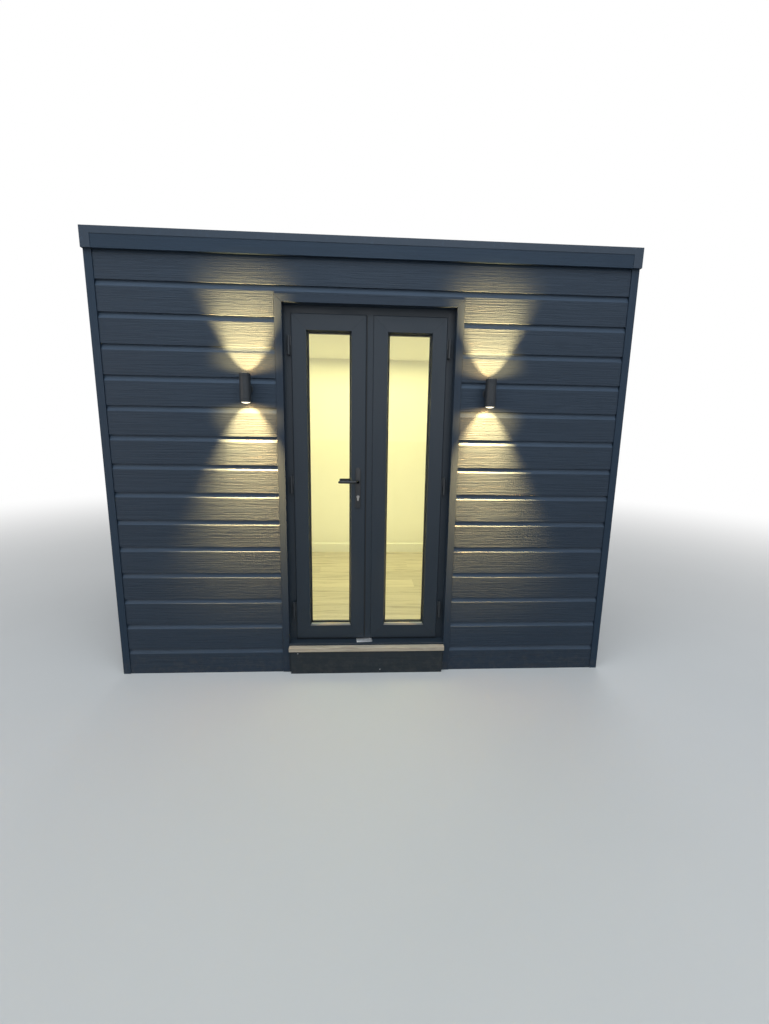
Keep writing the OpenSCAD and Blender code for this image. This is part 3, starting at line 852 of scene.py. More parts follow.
BARE_PLATE = BrushedMetal("bare_plate", (0.74, 0.75, 0.76), roughness=0.42)
# Painted shade: the black of the keyway stands in for the shade inside the slot.
KEYHOLE_SHADE = Rubber("keyway_black", (0.006, 0.006, 0.006))
GASKET = Rubber("gasket_rubber", (0.010, 0.011, 0.012))
ROOF_SHEET = Rubber("roof_sheet", (0.019, 0.020, 0.022), 0.6, 0.004, dust_share=0.8)
LINING_PAINT = WallPaint("lining_paint", (0.84, 0.83, 0.79))
SKIRTING_PAINT = WallPaint("skirting_paint", (0.86, 0.86, 0.83), 0.4, 0.00008)
JOISTS_ACROSS = SawnTimber("joist_timber_across", *JOIST_TONES, Axis.X)
JOISTS_DEEP = SawnTimber("joist_timber_deep", *JOIST_TONES, Axis.Y)
DECK_BOARD = ChipBoard("deck_board", (0.60, 0.47, 0.30), (0.36, 0.25, 0.13))
SILL_BOARD = SawnTimber("sill_board", (0.50, 0.44, 0.345), (0.34, 0.29, 0.22), Axis.X, 0.006, 0.40)
# Painted highlights: grey and pale tones laid over the dark sloping ledge of each sash, for the light from
# the room that falls on it.
PAINTED_LEDGE_HIGHLIGHT = SawnTimber("ledge_strip", (0.15, 0.16, 0.165), (0.12, 0.13, 0.135), Axis.X, 0.003, 0.2)
PAINTED_LEDGE_PALE_LINE = SawnTimber("ledge_seal", (0.42, 0.42, 0.30), (0.36, 0.36, 0.26), Axis.X, 0.003)
CLEAR_GLASS = ClearGlass("door_glass")
LIT_LENS = LitLens("lit_lens", (1.0, 0.90, 0.70), 2.0)


class Piece:
    """A new mesh on the bench, shaped with Blender's own edit tools."""

    def __init__(self, obj: bpy.types.Object, name: str) -> None:
        """Takes the object that a primitive made, and puts its place in its mesh.

        Args:
            obj: The object.
            name: The piece's name.
        """
        self.obj = obj
        self.obj.name = name
        self.obj.data.name = name
        self.apply_place()

    @classmethod
    def block(cls, name: str, low: Point, high: Point) -> "Piece":
        """Starts from a box.

        Args:
            name: The piece's name.
            low: Its lowest corner.
            high: The corner opposite to it.

        Returns:
            The box.
        """
        low, high = Vector(low), Vector(high)
        clear_selection()
        bpy.ops.mesh.primitive_cube_add(size=1, location=(low + high) / 2, scale=high - low)
        return cls(bpy.context.object, name)

    @classmethod
    def turned(cls, name: str, profile: Sequence[tuple[float, float]], centre: Point,
               direction: Point = (0, 0, 1), steps: int = 32) -> "Piece":
        """Turns a profile on a lathe.

        Args:
            name: The piece's name.
            profile: Points of (radius, height along the axis), from one end to the other.
            centre: The place of height 0 on the axis.
            direction: The direction in which the height grows.
            steps: The number of steps in a full turn.

        Returns:
            The turned piece.
        """
        clear_selection()
        bpy.ops.mesh.primitive_plane_add(size=1)
        piece = cls(bpy.context.object, name)
        piece.edit("VERT")
        bpy.ops.mesh.merge(type="CENTER")
        points = [Vector((radius, 0, height)) for radius, height in profile]
        bpy.ops.transform.translate(value=points[0])
        for here, there in zip(points, points[1:]):
            piece.pull(there - here)
        bpy.ops.mesh.select_all(action="SELECT")
        bpy.ops.mesh.spin(steps=steps, angle=math.tau, center=(0, 0, 0), axis=(0, 0, 1))
        piece.done().seal()
        turn = Axis.Z.value.rotation_difference(Vector(direction)).to_matrix().to_4x4()
        return piece.set_down(Matrix.Translation(centre) @ turn)

    @staticmethod
    def gathered(name: str, pieces: Sequence["Piece"]) -> "Piece":
        """Joins pieces into one.

        Args:
            name: The name of the whole.
            pieces: The pieces.

        Returns:
            The whole.
        """
        whole = pieces[0].joined(*pieces[1:])
        whole.obj.name = name
        return whole

    def alone(self) -> None:
        """Makes this the only selected object, and the active one."""
        clear_selection()
        self.obj.select_set(True)
        bpy.context.view_layer.objects.active = self.obj

    def apply_place(self) -> None:
        """Puts the object's place, turn and scale in its mesh."""
        self.alone()
        bpy.ops.object.transform_apply(location=True, rotation=True, scale=True)

    def edit(self, kind: str, select: str = "SELECT") -> None:
        """Enters edit mode.

        Args:
            kind: What is selected there: VERT, EDGE or FACE.
            select: Whether all of it starts selected, or none.
        """
        self.alone()
        bpy.ops.object.mode_set(mode="EDIT")
        bpy.ops.mesh.select_mode(type=kind)
        bpy.ops.mesh.select_all(action=select)

    def done(self) -> "Piece":
        """Leaves edit mode."""
        bpy.ops.object.mode_set(mode="OBJECT")
        return self

    def faces(self, test: Test) -> "Piece":
        """Selects faces, and enters edit mode.

        Args:
            test: Says from the centre and the normal of a face whether it is selected.

        Returns:
            This piece.
        """
        self.edit("FACE", "DESELECT")
        self.done()
        for face in self.obj.data.polygons:
            face.select = test(face.center, face.normal)
        bpy.ops.object.mode_set(mode="EDIT")
        return self

    def edges(self, test: Test) -> "Piece":
        """Selects edges, and enters edit mode.

        Args:
            test: Says from the two ends of an edge whether it is selected.

        Returns:
            This piece.
        """
        self.edit("EDGE", "DESELECT")
        self.done()
        points = self.obj.data.vertices
        for edge in self.obj.data.edges:
            edge.select = test(points[edge.vertices[0]].co, points[edge.vertices[1]].co)
        bpy.ops.object.mode_set(mode="EDIT")
        return self

    def bevel(self, width: float, segments: int = 2) -> "Piece":
        """Bevels the selected edges, and leaves edit mode."""
        bpy.ops.mesh.bevel(offset=width, segments=segments, profile=0.5, affect="EDGES")
        return self.done()

    def shift(self, offset: Point) -> "Piece":
        """Moves what is selected, and leaves edit mode."""
        bpy.ops.transform.translate(value=offset)
        return self.done()

    def pull(self, offset: Point) -> None:
        """Extrudes what is selected, and stays in edit mode."""
        bpy.ops.mesh.extrude_region_move(TRANSFORM_OT_translate={"value": offset})

    def opened(self, width: float) -> "Piece":
        """Cuts an opening through a box from front to back.

        Args:
            width: The width of the ring that is left.

        Returns:
            This piece.
        """
        self.faces(lambda centre, normal: abs(normal.y) > FACING)
        bpy.ops.mesh.inset(thickness=width)
        bpy.ops.mesh.bridge_edge_loops()
        return self.done()

    def cut(self, point: Point, normal: Point) -> "Piece":
        """Cuts off all that lies beyond a plane.

        Args:
            point: A point on the plane.
            normal: Its normal, which points to what is cut off.

        Returns:
            This piece.
        """
        self.edit("FACE")
        bpy.ops.mesh.bisect(plane_co=point, plane_no=normal, use_fill=True, clear_outer=True)
        return self.done()

    def softened(self, width: float, segments: int = 2) -> "Piece":
        """Rounds all sharp edges with a Bevel modifier.

        Args:
            width: The width of the rounding.
            segments: The number of its steps.

        Returns:
            This piece.
        """
        self.alone()
        rounding = self.obj.modifiers.new("rounding", "BEVEL")
        rounding.width = width
        rounding.segments = segments
        rounding.limit_method = "ANGLE"
        bpy.ops.object.modifier_apply(modifier=rounding.name)
        return self

    def smooth(self, degrees: float = 35.0) -> "Piece":
        """Shades smoothly over blunt edges.

        Args:
            degrees: The turn from which an edge stays sharp.

        Returns:
            This piece.
        """
        self.alone()
        bpy.ops.object.shade_smooth_by_angle(angle=math.radians(degrees))
        return self

    def seal(self) -> "Piece":
        """Merges doubled points and turns all faces outwards.

        Returns:
            This piece.
        """
        self.edit("VERT")
        bpy.ops.mesh.remove_doubles(threshold=MERGED)
        bpy.ops.mesh.normals_make_consistent(inside=False)
        return self.done()

    def copy(self, name: str, matrix: Matrix) -> "Piece":
        """Makes a copy with its own mesh.

        Args:
            name: The copy's name.
            matrix: Where it goes, from here.

        Returns:
            The copy.
        """
        twin = self.obj.copy()
        twin.data = self.obj.data.copy()
        bpy.context.collection.objects.link(twin)
        twin.matrix_world = matrix
        piece = Piece(twin, name)
        return piece.seal() if matrix.determinant() < 0 else piece

    def set_down(self, matrix: Matrix) -> "Piece":
        """Moves and turns the piece, and puts the place in its mesh.

        Args:
            matrix: Where it goes, from here.

        Returns:
            This piece.
        """
        self.obj.matrix_world = matrix
        self.apply_place()
        return self

    def moved(self, name: str, offset: Point) -> "Piece":
        """Makes a copy, moved by an offset."""
        return self.copy(name, Matrix.Translation(offset))

    def mirrored(self, name: str, axis: Axis, at: float) -> "Piece":
        """Makes a mirror image across a plane that the axis meets at the given place."""
        flip = Matrix.Diagonal((*(1 - 2 * abs(part) for part in axis.value), 1))
        return self.copy(name, Matrix.Translation(2 * at * axis.value) @ flip)

    def joined(self, *others: "Piece") -> "Piece":
        """Joins other pieces into this one.

        Args:
            others: The other pieces.

        Returns:
            This piece.
        """
        self.alone()
        for piece in others:
            piece.obj.select_set(True)
        bpy.ops.object.join()
        return self

    def fit(self, body: Body, slot: Slot, finish: Finish, stands_for: Sequence[str] = ()) -> None:
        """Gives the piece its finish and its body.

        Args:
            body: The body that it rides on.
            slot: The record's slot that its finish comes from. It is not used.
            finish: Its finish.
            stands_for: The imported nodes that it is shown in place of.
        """
        self.obj.data.materials.clear()
        self.obj.data.materials.append(material_of(finish))
        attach(self.obj, body.value)
        if stands_for:
            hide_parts(*stands_for)
        log.info("%s: %d faces on %s", self.obj.name, len(self.obj.data.polygons), body.value)


def clear_selection() -> None:
    """Deselects every object."""
    bpy.ops.object.select_all(action="DESELECT")


def joint_place(name: str) -> Vector:
    """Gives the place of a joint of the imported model, on its axis."""
    return Vector(next(joint["pos_m"] for joint in frame["joints"] if joint["name"] == name))


def dress(finish: Finish, *nodes: str) -> None:
    """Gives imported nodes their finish.

    Args:
        finish: The finish.
        nodes: The nodes' names.
    """
    for name in nodes:
        slots = frame["nodes"][name].material_slots
        for place in slots:
            place.material = material_of(finish)
        if not slots:
            frame["nodes"][name].data.materials.append(material_of(finish))
        log.info("%s: %s", name, finish.name)


@dataclass
class Base:
    """The joists and the deck under the floor."""

    def dress(self) -> None:
        """Gives the timber its grain along each piece."""
        dress(JOISTS_ACROSS, "rim_joists")
        dress(JOISTS_DEEP, "floor_joists")
        dress(DECK_BOARD, "floor_deck")


@dataclass
class Room:
    """The lining of the room and its plank floor."""

    plank_length: float = 1.29
    plank_width: float = 0.192
    stagger: float = 0.43
    groove: float = 0.0012
    threshold_round: float = 0.002

    def build(self) -> None:
        """Lays the planks in staggered rows, cut off at the walls, and the threshold in the doorway."""
        low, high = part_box("laminate_floor")
        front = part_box("left_wall")[0].y
        plank = Piece.block("floor_planks", (0, 0, low.z), (self.plank_length, self.plank_width, high.z))
        plank.edges(lambda a, b: min(a.z, b.z) > high.z - NEAR).bevel(self.groove, 1)
        laid = []
        for row in range(math.ceil((high.y - front) / self.plank_width)):
            start = -(row * self.stagger) % self.plank_length
            x = low.x - (low.x - start) % self.plank_length
            while x < high.x:
                laid.append(plank.moved("plank", (x, front + row * self.plank_width, 0)))
                x += self.plank_length
        bpy.data.objects.remove(plank.obj)
        floor = Piece.gathered("floor_planks", laid)
        for point, normal in ((low, (-1, 0, 0)), (high, (1, 0, 0)), (high, (0, 1, 0))):
            floor.cut(point, normal)
        finish = LaminatePlanks("laminate_planks", (0.58, 0.53, 0.44), (0.31, 0.275, 0.22),
                                self.plank_length, self.plank_width, self.stagger, front)
        floor.fit(Body.ROOT, Slot.LAMINATE, finish, ["laminate_floor"])
        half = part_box("door_sill")[1].x
        threshold = Piece.block("threshold", (-half, low.y, low.z), (half, front, high.z))
        threshold.softened(self.threshold_round).fit(Body.ROOT, Slot.LAMINATE, finish)

    def dress(self) -> None:
        """Paints the lining, the ceiling and the skirting."""
        dress(LINING_PAINT, "left_wall", "right_wall", "back_wall", "front_wall_left", "front_wall_right",
              "front_wall_head", "roof_panel", "ceiling")
        dress(SKIRTING_PAINT, "skirting")


@dataclass
class Cladding:
    """The lapped boards and the trims on the corners."""

    def dress(self) -> None:
        """Paints the boards with the grain along each wall."""
        dress(BOARDS_ACROSS, "front_cladding_left", "front_cladding_right", "front_cladding_head",
              "back_cladding")
        dress(BOARDS_DEEP, "left_cladding", "right_cladding")
        dress(CORNER_PAINT, "corner_trims")


@dataclass
class Roof:
    """The membrane, the fascia and the trims round the edge."""

    def dress(self) -> None:
        """Gives the roof its sheet and its painted edges."""
        dress(ROOF_SHEET, "roof_membrane")
        dress(FASCIA_ACROSS, "fascia_boards")
        dress(EDGE_TRIM_COAT, "fascia_corners", "roof_edge_trims")


SCREW_HEAD = [
    (0, -0.001), (0.0036, -0.001), (0.0036, 0.0003), (0.0029, 0.0012), (0.0016, 0.0014), (0.0011, 0.0004),
    (0, 0.0004),
]
SCREW_STEPS = 20


@dataclass
class Doorway:
    """The trims, riser and sill round the doors, and the fixed door frame with its seal."""

    seal_width: float = 0.006
    seal_depth: float = 0.004
    seal_inset: float = 0.003
    seal_round: float = 0.0012
    nose_height: float = 0.012
    nose_rise: float = 0.007
    plate_middle: float = -0.018
    plate_size: tuple[float, float, float] = (0.098, 0.044, 0.003)
    plate_corner: float = 0.002
    plate_round: float = 0.0004
    plate_back: float = 0.007
    plate_turn: float = 5.0
    screw_inset: tuple[float, float] = (0.012, 0.004)
    riser_screws: tuple[tuple[float, float], ...] = ((-0.427, 0.134), (0.081, 0.023))

    def build(self) -> None:
        """Makes the seal on the frame, the bare plate on its foot and the screws in the riser."""
        self.build_seal()
        self.build_foot_plate()
        self.build_screws()

    def build_seal(self) -> None:
        """Makes the rubber seal that the leaves shut against."""
        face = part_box("frame_jambs")[0].y
        inset = Vector((self.seal_inset, 0, self.seal_inset))
        low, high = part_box("left_sash")[0] + inset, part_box("right_sash")[1] - inset
        seal = Piece.block("frame_seal", (low.x, face - self.seal_depth, low.z), (high.x, face, high.z))
        seal.opened(self.seal_width).softened(self.seal_round)
        seal.smooth().fit(Body.ROOT, Slot.DOOR_FRAME, GASKET)

    def build_foot_plate(self) -> None:
        """Makes the bare plate on the sloping nose of the frame's foot, with a screw at its right end."""
        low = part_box("frame_foot")[0]
        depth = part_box("frame_jambs")[0].y - low.y
        slope = math.atan2(self.nose_rise, depth)
        width, length, thickness = self.plate_size
        plate = Piece.block("foot_plate", (-width / 2, -length / 2, 0), (width / 2, length / 2, thickness))
        plate.edges(lambda a, b: abs(a.z - b.z) > SHORT).bevel(self.plate_corner, 3)
        inset, shift = self.screw_inset
        screw = Piece.turned("plate_screw", SCREW_HEAD, (width / 2 - inset, shift, thickness),
                             steps=SCREW_STEPS)
        plate.softened(self.plate_round).joined(screw)
        top = low.z + self.nose_height + self.nose_rise / 2 + self.plate_back * math.tan(slope)
        seat = Matrix.Translation((self.plate_middle, low.y + depth / 2 + self.plate_back, top))
        lean = Matrix.Rotation(slope, 4, "X")
        turn = Matrix.Rotation(math.radians(self.plate_turn), 4, "Z")
        plate.set_down(seat @ lean @ turn).smooth().fit(Body.ROOT, Slot.LOCK, BARE_PLATE)

    def build_screws(self) -> None:
        """Makes the two bare screws that show in the riser."""
        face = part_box("door_riser")[0].y
        screws = [Piece.turned(f"riser_screw_{i}", SCREW_HEAD, (x, face, z), (0, -1, 0), SCREW_STEPS)
                  for i, (x, z) in enumerate(self.riser_screws)]
        Piece.gathered("riser_screws", screws).smooth(40).fit(Body.ROOT, Slot.LOCK, BARE_STEEL)

    def dress(self) -> None:
        """Paints the trims and the riser, and gives the frame its foil and the sill its grain."""
        dress(DOOR_TRIM_PAINT, "door_trims")
        dress(RISER_PAINT, "door_riser")
        dress(SILL_BOARD, "door_sill")
        dress(DOOR_FOIL, "frame_jambs")
        dress(RAIL_FOIL, "frame_head", "frame_foot")
        dress(HINGE_COAT, "frame_hinges")


@dataclass
class DoorLeaf:
    """One glazed leaf with its gaskets, its hinges' caps, and painted highlight strips on the sloping
    ledge at the foot of its glass.
    """

    side: Side
    glass_hold: float = 0.014
    glass_bevel: float = 0.009
    gasket_width: float = 0.003
    gasket_depth: float = 0.002
    gasket_round: float = 0.001
    # The strip and the pale line behind it are painted highlights on the sloping ledge.
    strip_setback: float = 0.0015
    strip_thickness: float = 0.001
    strip_round: float = 0.0003
    seal_thickness: float = 0.003
    seal_depth: float = 0.005
    hinge_half: float = 0.050
    cap_radius: float = 0.008
    cap_height: float = 0.003
    cap_steps: int = 24

    def name(self, part: str) -> str:
        """Names a part of this leaf."""
        return f"{self.side.word}_{part}"

    @property
    def sight(self) -> tuple[Vector, Vector]:
        """Gives the glass opening, on the faces of the glass unit.

        Returns:
            Its lowest and its highest corner.
        """
        low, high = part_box(self.name("glass"))
        inward = Vector((self.glass_hold, 0, self.glass_hold))
        return low + inward, high - inward

    @property
    def face(self) -> float:
        """The place of the sash's outer face."""
        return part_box(self.name("sash"))[0].y

    @property
    def hinges(self) -> list[Vector]:
        """Gives the hinges' places.

        Returns:
            Their middles, on the axis that the leaf's joint turns about.
        """
        axis = joint_place(self.name("door_swing"))
        low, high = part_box(self.name("hinges"))
        heights = low.z + self.hinge_half, (low.z + high.z) / 2, high.z - self.hinge_half
        return [Vector((axis.x, axis.y, height)) for height in heights]

    def build(self) -> None:
        """Makes the leaf's small parts."""
        self.build_gaskets()
        self.build_ledge()
        self.build_hinge_caps()

    def build_gaskets(self) -> None:
        """Makes the gasket round the glass outside and the one inside."""
        low, high = self.sight
        for word, y in (("outer", low.y - self.gasket_depth), ("inner", high.y)):
            gasket = Piece.block(self.name(f"{word}_gasket"), (low.x, y, low.z),
                                 (high.x, y + self.gasket_depth, high.z))
            gasket.opened(self.gasket_width).softened(self.gasket_round)
            gasket.smooth().fit(self.side.door, Slot.DOOR_FRAME, GASKET)

    def build_ledge(self) -> None:
        """Makes a painted highlight on the sloping ledge under the glass: a grey strip for the light that
        falls on the ledge, and a pale line behind it.
        """
        front = self.face + self.strip_setback
        back = self.sight[0].y - self.gasket_depth
        between = back - self.seal_depth
        # Painted highlight: the grey strip and the pale line stand in for light falling on the ledge.
        strip = self.ledge_piece("ledge_strip", front, between, self.strip_thickness)
        strip.fit(self.side.door, Slot.DOOR_FRAME, PAINTED_LEDGE_HIGHLIGHT)
        seal = self.ledge_piece("ledge_seal", between, back, self.seal_thickness)
        seal.fit(self.side.door, Slot.DOOR_FRAME, PAINTED_LEDGE_PALE_LINE)

    def ledge_piece(self, part: str, front_y: float, back_y: float, thickness: float) -> Piece:
        """Makes a thin strip that lies on the ledge, with its ends cut to the mitres of the sash.

        Args:
            part: The strip's name.
            front_y: The place of its front edge.
            back_y: The place of its back edge.
            thickness: Its thickness.

        Returns:
            The strip.
        """
        low, high = self.sight
        slope = self.glass_bevel / (low.y - self.face)
        back_drop = (low.y - back_y) * slope
        front_drop = (low.y - front_y) * slope
        foot = low.z - back_drop
        strip = Piece.block(self.name(part), (low.x - back_drop, front_y, foot),
                            (high.x + back_drop, back_y, foot + thickness))
        strip.faces(lambda centre, normal: normal.y < -FACING)
        wide = (high.x - low.x + 2 * front_drop) / (high.x - low.x + 2 * back_drop)
        bpy.ops.transform.resize(value=(wide, 1, 1), center_override=((low.x + high.x) / 2, back_y, low.z))
        return strip.shift((0, 0, back_drop - front_drop)).softened(self.strip_round, 1)

    def build_hinge_caps(self) -> None:
        """Makes the domed caps: the upper ones turn with the leaf, and the lower ones stay."""
        radius, top = self.cap_radius, self.cap_height
        dome = [(0, 0), (0.92 * radius, 0), (0.92 * radius, 0.3 * top), (0.7 * radius, 0.8 * top),
                (0.35 * radius, top), (0, top)]
        for end, body in ((End.UPPER, self.side.door), (End.LOWER, Body.ROOT)):
            caps = [Piece.turned("cap", dome, place + self.hinge_half * end.way, end.way,
                                 self.cap_steps)
                    for place in self.hinges]
            joined = Piece.gathered(self.name(f"{end.name.lower()}_hinge_caps"), caps)
            joined.smooth(50).fit(body, Slot.HINGE, HINGE_COAT)

    def dress(self) -> None:
        """Gives the leaf its foil, its glass and its painted hinges."""
        dress(SASH_FOIL, self.name("sash"))
        dress(DOOR_FOIL, self.name("beads"))
        dress(CLEAR_GLASS, self.name("glass"))
        dress(HINGE_COAT, self.name("hinges"))


@dataclass
class MeetingStile:
    """The cover strip between the leaves and the gasket that closes the gap beside it."""

    reach: float = 0.0061
    tucked: float = 0.0005
    depths: tuple[float, float] = (0.0065, 0.0125)
    end_gap: float = 0.004
    lip_round: float = 0.0015

    def build(self) -> None:
        """Makes the gasket on the edge of the left leaf, which just meets the cover strip."""
        low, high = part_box("left_sash")
        edge = high.x
        front, back = (low.y + depth for depth in self.depths)
        gasket = Piece.block("meeting_gasket", (edge - self.tucked, front, low.z + self.end_gap),
                             (edge + self.reach, back, high.z - self.end_gap))
        gasket.edges(lambda a, b: min(a.x, b.x) > edge and abs(a.z - b.z) > SHORT).bevel(self.lip_round, 3)
        gasket.smooth().fit(Body.LEFT_DOOR, Slot.DOOR_FRAME, GASKET)

    def dress(self) -> None:
        """Gives the cover strip its foil."""
        dress(DOOR_FOIL, "cover_strip")


@dataclass
class Handle:
    """The lever handle on the left leaf, outside and inside, with its plates and lock cylinder."""

    end_flat: float = 0.0002
    plate_rim: float = 0.0022
    margin: float = 0.0003
    neck_radius: float = 0.0078
    bend_radius: float = 0.014
    arm_height: float = 0.0175
    arm_thickness: float = 0.0105
    collar_radius: float = 0.0125
    collar_height: float = 0.004
    collar_gap: float = 0.0006
    tail_half: float = 0.005
    tail_drop: float = 0.016
    tail_round: float = 0.0046
    tail_edge: float = 0.0004
    keyway_half: tuple[float, float] = (0.0009, 0.0042)
    keyway_depth: float = 0.0015
    keyway_edge: float = 0.0003

    @property
    def axis(self) -> Vector:
        """The place of the levers' joint, on the face of the outer plate."""
        return joint_place("lever_turn")

    def doubled(self, piece: Piece, twin: str) -> Piece:
        """Joins a piece to its mirror image on the other face of the leaf.

        Args:
            piece: The piece outside.
            twin: The name of the one inside.

        Returns:
            Both in one.
        """
        low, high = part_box("handle_plates")
        return piece.joined(piece.mirrored(twin, Axis.Y, (low.y + high.y) / 2))

    def build(self) -> None:
        """Makes the plates, levers, collars and keyholes of both sides."""
        self.build_plates()
        self.build_levers()
        self.build_collars()
        self.build_keyholes()

    def build_plates(self) -> None:
        """Makes a plate with round ends and a softened rim on each face of the leaf."""
        low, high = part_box("handle_plates")
        plate = Piece.block("handle_backplates", low, (high.x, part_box("left_sash")[0].y, high.z))
        round_end = (high.x - low.x) / 2 - self.end_flat
        plate.edges(lambda a, b: abs(a.y - b.y) > SHORT).bevel(round_end, 10)
        plate.edges(lambda a, b: max(a.y, b.y) < low.y + NEAR).bevel(self.plate_rim, 3)
        plates = self.doubled(plate, "inner_plate").smooth(30)
        plates.fit(Body.LEFT_DOOR, Slot.HANDLE, HANDLE_COAT, ["handle_plates"])

    def build_levers(self) -> None:
        """Makes each lever as one bar that leaves its neck in a bend and tapers to a round tip."""
        low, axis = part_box("levers")[0], self.axis
        start = axis.y - self.margin
        arm_y = low.y + self.arm_thickness / 2 + self.margin
        clear_selection()
        bpy.ops.mesh.primitive_circle_add(vertices=24, radius=self.neck_radius, fill_type="NGON",
                                          location=(axis.x, start, axis.z), rotation=(math.pi / 2, 0, 0))
        lever = Piece(bpy.context.object, "lever_arms")
        lever.edit("FACE")
        lever.pull((0, arm_y + self.bend_radius - start, 0))
        at = Vector((axis.x - self.bend_radius, arm_y, axis.z))
        pivot = at + Vector((0, self.bend_radius, 0))
        bpy.ops.mesh.spin(steps=8, angle=-math.pi / 2, center=pivot, axis=(0, 0, 1))
        reach = at.x - low.x
        diameter = 2 * self.neck_radius
        flat = (1, self.arm_thickness / diameter, self.arm_height / diameter)
        for share, size in ((0.22, flat), (0.68, (1, 0.9, 0.94)), (0.06, (1, 0.86, 0.86)),
                            (0.03, (1, 0.62, 0.62)), (0.01, (1, 0.3, 0.3))):
            lever.pull((-reach * share, 0, 0))
            at.x -= reach * share
            bpy.ops.transform.resize(value=size, center_override=at)
        lever.done().seal()
        levers = self.doubled(lever, "inner_lever").smooth(50)
        levers.fit(Body.LEVER, Slot.HANDLE, HANDLE_COAT, ["levers"])

    def build_collars(self) -> None:
        """Makes the spring collar round each neck."""
        inner, outer, height = self.neck_radius + self.collar_gap, self.collar_radius, self.collar_height
        profile = [(inner, 0), (outer, 0), (outer, 0.6 * height), (outer - 0.25 * height, height),
                   (inner, height), (inner, 0)]
        collar = Piece.turned("handle_collars", profile, self.axis, (0, -1, 0), 36)
        collars = self.doubled(collar, "inner_collar").smooth(40)
        collars.fit(Body.LEFT_DOOR, Slot.HANDLE, HANDLE_COAT)

    def build_keyholes(self) -> None:
        """Makes a black block of painted shade for the keyway in each end of the cylinder, and the
        cylinder's slim lower part.
        """
        low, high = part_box("lock_cylinder")
        centre, radius = (low + high) / 2, (high.z - low.z) / 2
        face, foot = self.axis.y, low.z - self.tail_drop
        front = face - 0.8 * (face - low.y)
        tail = Piece.block("cylinder_tails", (centre.x - self.tail_half, front, foot),
                           (centre.x + self.tail_half, face, low.z + 0.3 * radius))
        below = foot + NEAR
        tail.edges(lambda a, b: abs(a.y - b.y) > SHORT and max(a.z, b.z) < below).bevel(self.tail_round, 6)
        tails = self.doubled(tail.softened(self.tail_edge), "inner_tail").smooth(30)
        tails.fit(Body.LEFT_DOOR, Slot.LOCK, LOCK_STEEL)
        # Painted shade: a black block on each end of the cylinder stands for the shade inside the keyway.
        wide, tall = self.keyway_half
        keyway = Piece.block("keyholes", (centre.x - wide, low.y - NEAR, centre.z - tall),
                             (centre.x + wide, low.y + self.keyway_depth, centre.z + tall))
        keyways = self.doubled(keyway.softened(self.keyway_edge), "inner_keyhole")
        keyways.fit(Body.LEFT_DOOR, Slot.LOCK, KEYHOLE_SHADE)

    def dress(self) -> None:
        """Gives the lock cylinder its satin metal."""
        dress(LOCK_STEEL, "lock_cylinder")


@dataclass(frozen=True)
class Beam:
    """A warm beam of a wall light, which holds its strength along the boards up to its reach.

    The half angle and the tilt are in degrees.
    """

    name: str
    energy: float
    half_angle: float
    tilt: float
    blend: float
    fade_start: float
    fade_end: float
    easing: float = 0.012
    radius: float = 0.006
    colour: Colour = (1.0, 0.56, 0.185)

    def lamp(self, side: Side) -> bpy.types.Light:
        """Makes the spot lamp of this beam, with its fading built as nodes.

        Args:
            side: The side of the doorway that its light is on.

        Returns:
            The lamp.
        """
        lamp = bpy.data.lights.new(f"{side.word}_{self.name}", "SPOT")
        lamp.energy = self.energy
        lamp.color = self.colour
        lamp.spot_size = math.radians(2 * self.half_angle)
        lamp.spot_blend = self.blend
        lamp.shadow_soft_size = self.radius
        lamp.use_nodes = True
        graph = Graph(lamp.node_tree)
        falloff = {"Strength": 1.0, "Smooth": self.easing}
        steady = graph.channel("ShaderNodeLightFalloff", None, falloff, "Constant")
        away = Channel(graph, graph.node("ShaderNodeLightPath").outputs["Ray Length"])
        glow = graph.emission(steady * away.ramp(self.fade_end, self.fade_start))
        graph.node("ShaderNodeOutputLight", inputs={"Surface": glow})
        return lamp


UPPER_BEAMS = [
    Beam("beam_up", 4900.0, 46, 38, 0.55, 0.24, 0.66),
    Beam("halo_up", 2200.0, 86, 22, 0.50, 0.07, 0.27, 0.03),
]
LOWER_BEAMS = [
    Beam("beam_down", 4800.0, 48, 40, 0.60, 0.24, 1.50),
    Beam("halo_down", 2200.0, 86, 22, 0.50, 0.07, 0.27, 0.03),
]


